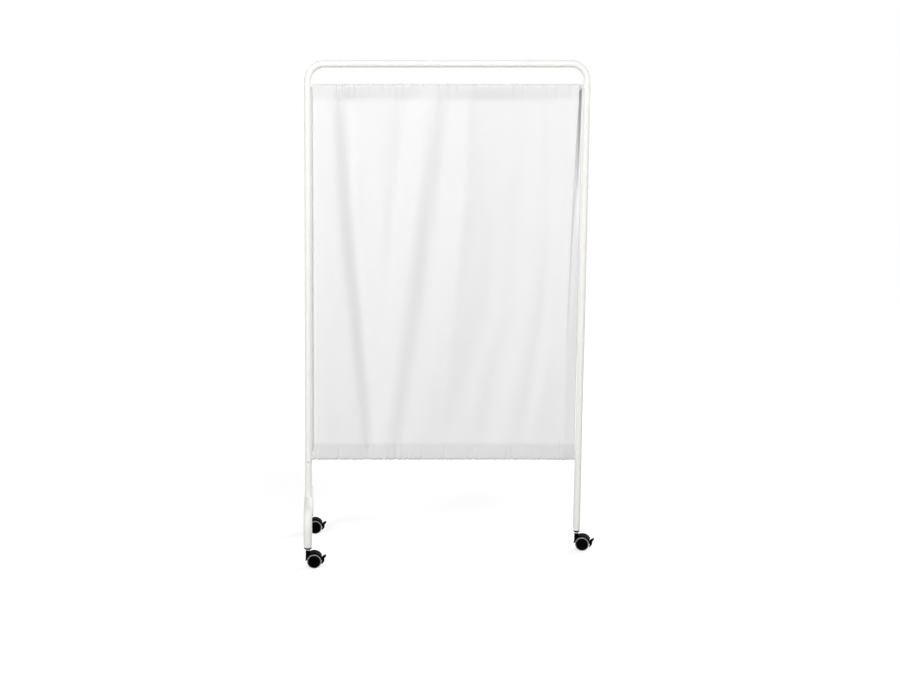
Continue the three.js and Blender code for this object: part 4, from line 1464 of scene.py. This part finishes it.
        neck = slab(neck_line + centre, 3.9 * MM, 0.4 * MM)
        start, stop = np.array([root + 3.2 * MM, top + 1.6 * MM]), np.array([40.4 * MM, 17.9 * MM])
        turn = np.linspace(0, 2 * np.pi, 17)[:-1]
        rib = 0.55 * MM * np.stack([np.cos(turn), np.sin(turn)], axis=-1)
        places = [centre + start + (stop - start) * share for share in (0.3, 0.6, 0.9)]
        ribs = [slab(place + rib, 9.4 * MM, 0.4 * MM) for place in places]
        surface = together(pad, neck, *ribs)
        self.add(f"brake_pedal_{self.name}", surface, BLACK_PLASTIC, f"lever_{self.name}", "brake_lever")


# ---- Studio ----


@dataclass(frozen=True)
class Studio:
    """Floor, light and camera.

    Attributes:
        floor_half: Half the floor's width.
        floor_colour: The floor's colour.
        floor_glow: How bright the floor is to the camera without light, away from the object.
        near_glow: The same round the object, where the lamps light it more.
        glow_span: Distances from the middle between which one changes into the other.
        sky: Strength of the light from low all round.
        zenith: The same from straight above.
        camera: Where the camera is.
        pitch: How far it looks down, in degrees.
        lens: Its focal length in millimetres.
        sensor: Its sensor's width in millimetres.
        shift: How far its picture is shifted to the right, as a share of the width.
    """

    floor_half: float = 30.0
    floor_colour: Colour = (0.53, 0.53, 0.53)
    floor_glow: float = 0.9
    near_glow: float = 0.61
    glow_span: tuple[float, float] = (0.9, 3.5)
    sky: float = 0.36
    zenith: float = 0.15
    camera: tuple[float, float, float] = (-0.441, -5.302, 1.557)
    pitch: float = 8.34
    lens: float = 60.0
    sensor: float = 36.0
    shift: float = 0.1352

    def build(self) -> None:
        """Sets up the whole studio."""
        self.floor()
        self.world()
        self.lamp("key", (-3.3, -3.9, 2.9), (0.0, 0.0, 1.2), 1.6, 154.0)
        self.lamp("top", (0.6, -2.7, 3.6), (0.0, 0.0, 1.2), 1.8, 46.0)
        self.lamp("fill", (3.2, -4.2, 1.6), (0.0, 0.0, 0.8), 2.2, 50.0)
        self.lamp("back", (3.0, 2.4, 2.2), (0.0, 0.0, 1.0), 2.0, 120.0)
        self.photographer()
        bpy.context.scene.view_settings.view_transform = "Standard"

    @staticmethod
    def seen_ray(tree: bpy.types.NodeTree) -> Socket:
        """1 for a ray from the camera, or for what it sees through gloss or glass."""
        path = tree.nodes.new("ShaderNodeLightPath")
        total = path.outputs["Is Camera Ray"]
        for name in ("Is Glossy Ray", "Is Transmission Ray"):
            most = tree.nodes.new("ShaderNodeMath")
            most.operation = "MAXIMUM"
            tree.links.new(total, most.inputs[0])
            tree.links.new(path.outputs[name], most.inputs[1])
            total = most.outputs[0]
        return total

    def floor(self) -> None:
        """The pale floor, which keeps the object's shadow and glows a little to the camera."""
        half = self.floor_half
        mesh = bpy.data.meshes.new("studio_floor")
        corners = [(-half, -half, 0), (half, -half, 0), (half, half, 0), (-half, half, 0)]
        mesh.from_pydata(corners, [], [(0, 1, 2, 3)])
        floor = bpy.data.objects.new("studio_floor", mesh)
        bpy.context.scene.collection.objects.link(floor)
        sheet = MaterialSheet("studio_floor")
        sheet.paint(Base_Color=(*self.floor_colour, 1.0), Roughness=1.0, Specular_IOR_Level=0.0)
        glow = sheet.add("ShaderNodeEmission", {"Color": (1, 1, 1, 1)})
        place = sheet.add("ShaderNodeTexCoord").outputs["Object"]
        away = sheet.add("ShaderNodeVectorMath", {0: place}, operation="LENGTH").outputs["Value"]
        near, far = self.glow_span
        inputs = {"Value": away, "From Min": near, "From Max": far,
                  "To Min": self.near_glow, "To Max": self.floor_glow}
        fading = sheet.add("ShaderNodeMapRange", inputs, interpolation_type="SMOOTHSTEP").outputs["Result"]
        factors = {0: self.seen_ray(sheet.tree), 1: fading}
        strength = sheet.add("ShaderNodeMath", factors, operation="MULTIPLY")
        sheet.tree.links.new(strength.outputs[0], glow.inputs["Strength"])
        both = sheet.add("ShaderNodeAddShader", {0: sheet.shader.outputs[0], 1: glow.outputs[0]})
        sheet.tree.links.new(both.outputs[0], sheet.tree.nodes["Material Output"].inputs["Surface"])
        mesh.materials.append(sheet.material)

    def world(self) -> None:
        """Light from all round, weaker from above, and plain white where the camera sees past the object."""
        world = bpy.data.worlds.new("studio")
        bpy.context.scene.world = world
        world.use_nodes = True
        tree = world.node_tree
        light = tree.nodes["Background"]
        light.inputs["Color"].default_value = (1, 1, 1, 1)
        direction = tree.nodes.new("ShaderNodeTexCoord")
        height = tree.nodes.new("ShaderNodeSeparateXYZ")
        tree.links.new(direction.outputs["Generated"], height.inputs[0])
        fading = tree.nodes.new("ShaderNodeMapRange")
        limits = {"From Min": 0.0, "From Max": 1.0, "To Min": self.sky, "To Max": self.zenith}
        for name, value in limits.items():
            fading.inputs[name].default_value = value
        tree.links.new(height.outputs["Z"], fading.inputs["Value"])
        tree.links.new(fading.outputs["Result"], light.inputs["Strength"])
        seen = tree.nodes.new("ShaderNodeBackground")
        seen.inputs["Color"].default_value = (1, 1, 1, 1)
        seen.inputs["Strength"].default_value = 1.0
        mix = tree.nodes.new("ShaderNodeMixShader")
        tree.links.new(self.seen_ray(tree), mix.inputs[0])
        tree.links.new(light.outputs[0], mix.inputs[1])
        tree.links.new(seen.outputs[0], mix.inputs[2])
        tree.links.new(mix.outputs[0], tree.nodes["World Output"].inputs["Surface"])

    @staticmethod
    def lamp(name: str, place: tuple[float, float, float], target: tuple[float, float, float], size: float,
             power: float) -> None:
        """Hangs a square soft box.

        Args:
            name: The lamp's name.
            place: Where it hangs.
            target: What it points at.
            size: Its width.
            power: Its power in watts.
        """
        data = bpy.data.lights.new(name, "AREA")
        data.size, data.energy = size, power
        lamp = bpy.data.objects.new(name, data)
        lamp.location = place
        lamp.rotation_euler = (Vector(target) - Vector(place)).to_track_quat("-Z", "Y").to_euler()
        lamp.visible_camera = False
        bpy.context.scene.collection.objects.link(lamp)

    def photographer(self) -> None:
        """The camera, level from side to side and looking slightly down."""
        data = bpy.data.cameras.new("camera")
        data.lens, data.sensor_width, data.shift_x = self.lens, self.sensor, self.shift
        data.clip_end = 100.0
        camera = bpy.data.objects.new("camera", data)
        camera.location = self.camera
        camera.rotation_euler = (math.radians(90 - self.pitch), 0, 0)
        bpy.context.scene.collection.objects.link(camera)
        bpy.context.scene.camera = camera


def main() -> None:
    """Builds the object and its studio."""
    logging.basicConfig(level=logging.INFO, format="%(message)s")
    screen = ScreenFrame()
    screen.build()
    HangingCurtain().build()
    for name, tube in (("right", screen.tube), ("front", screen.foot_tube), ("rear", screen.foot_tube)):
        SwivelCaster(name, tube).build()
    Studio().build()


if __name__ == "__main__":
    main()
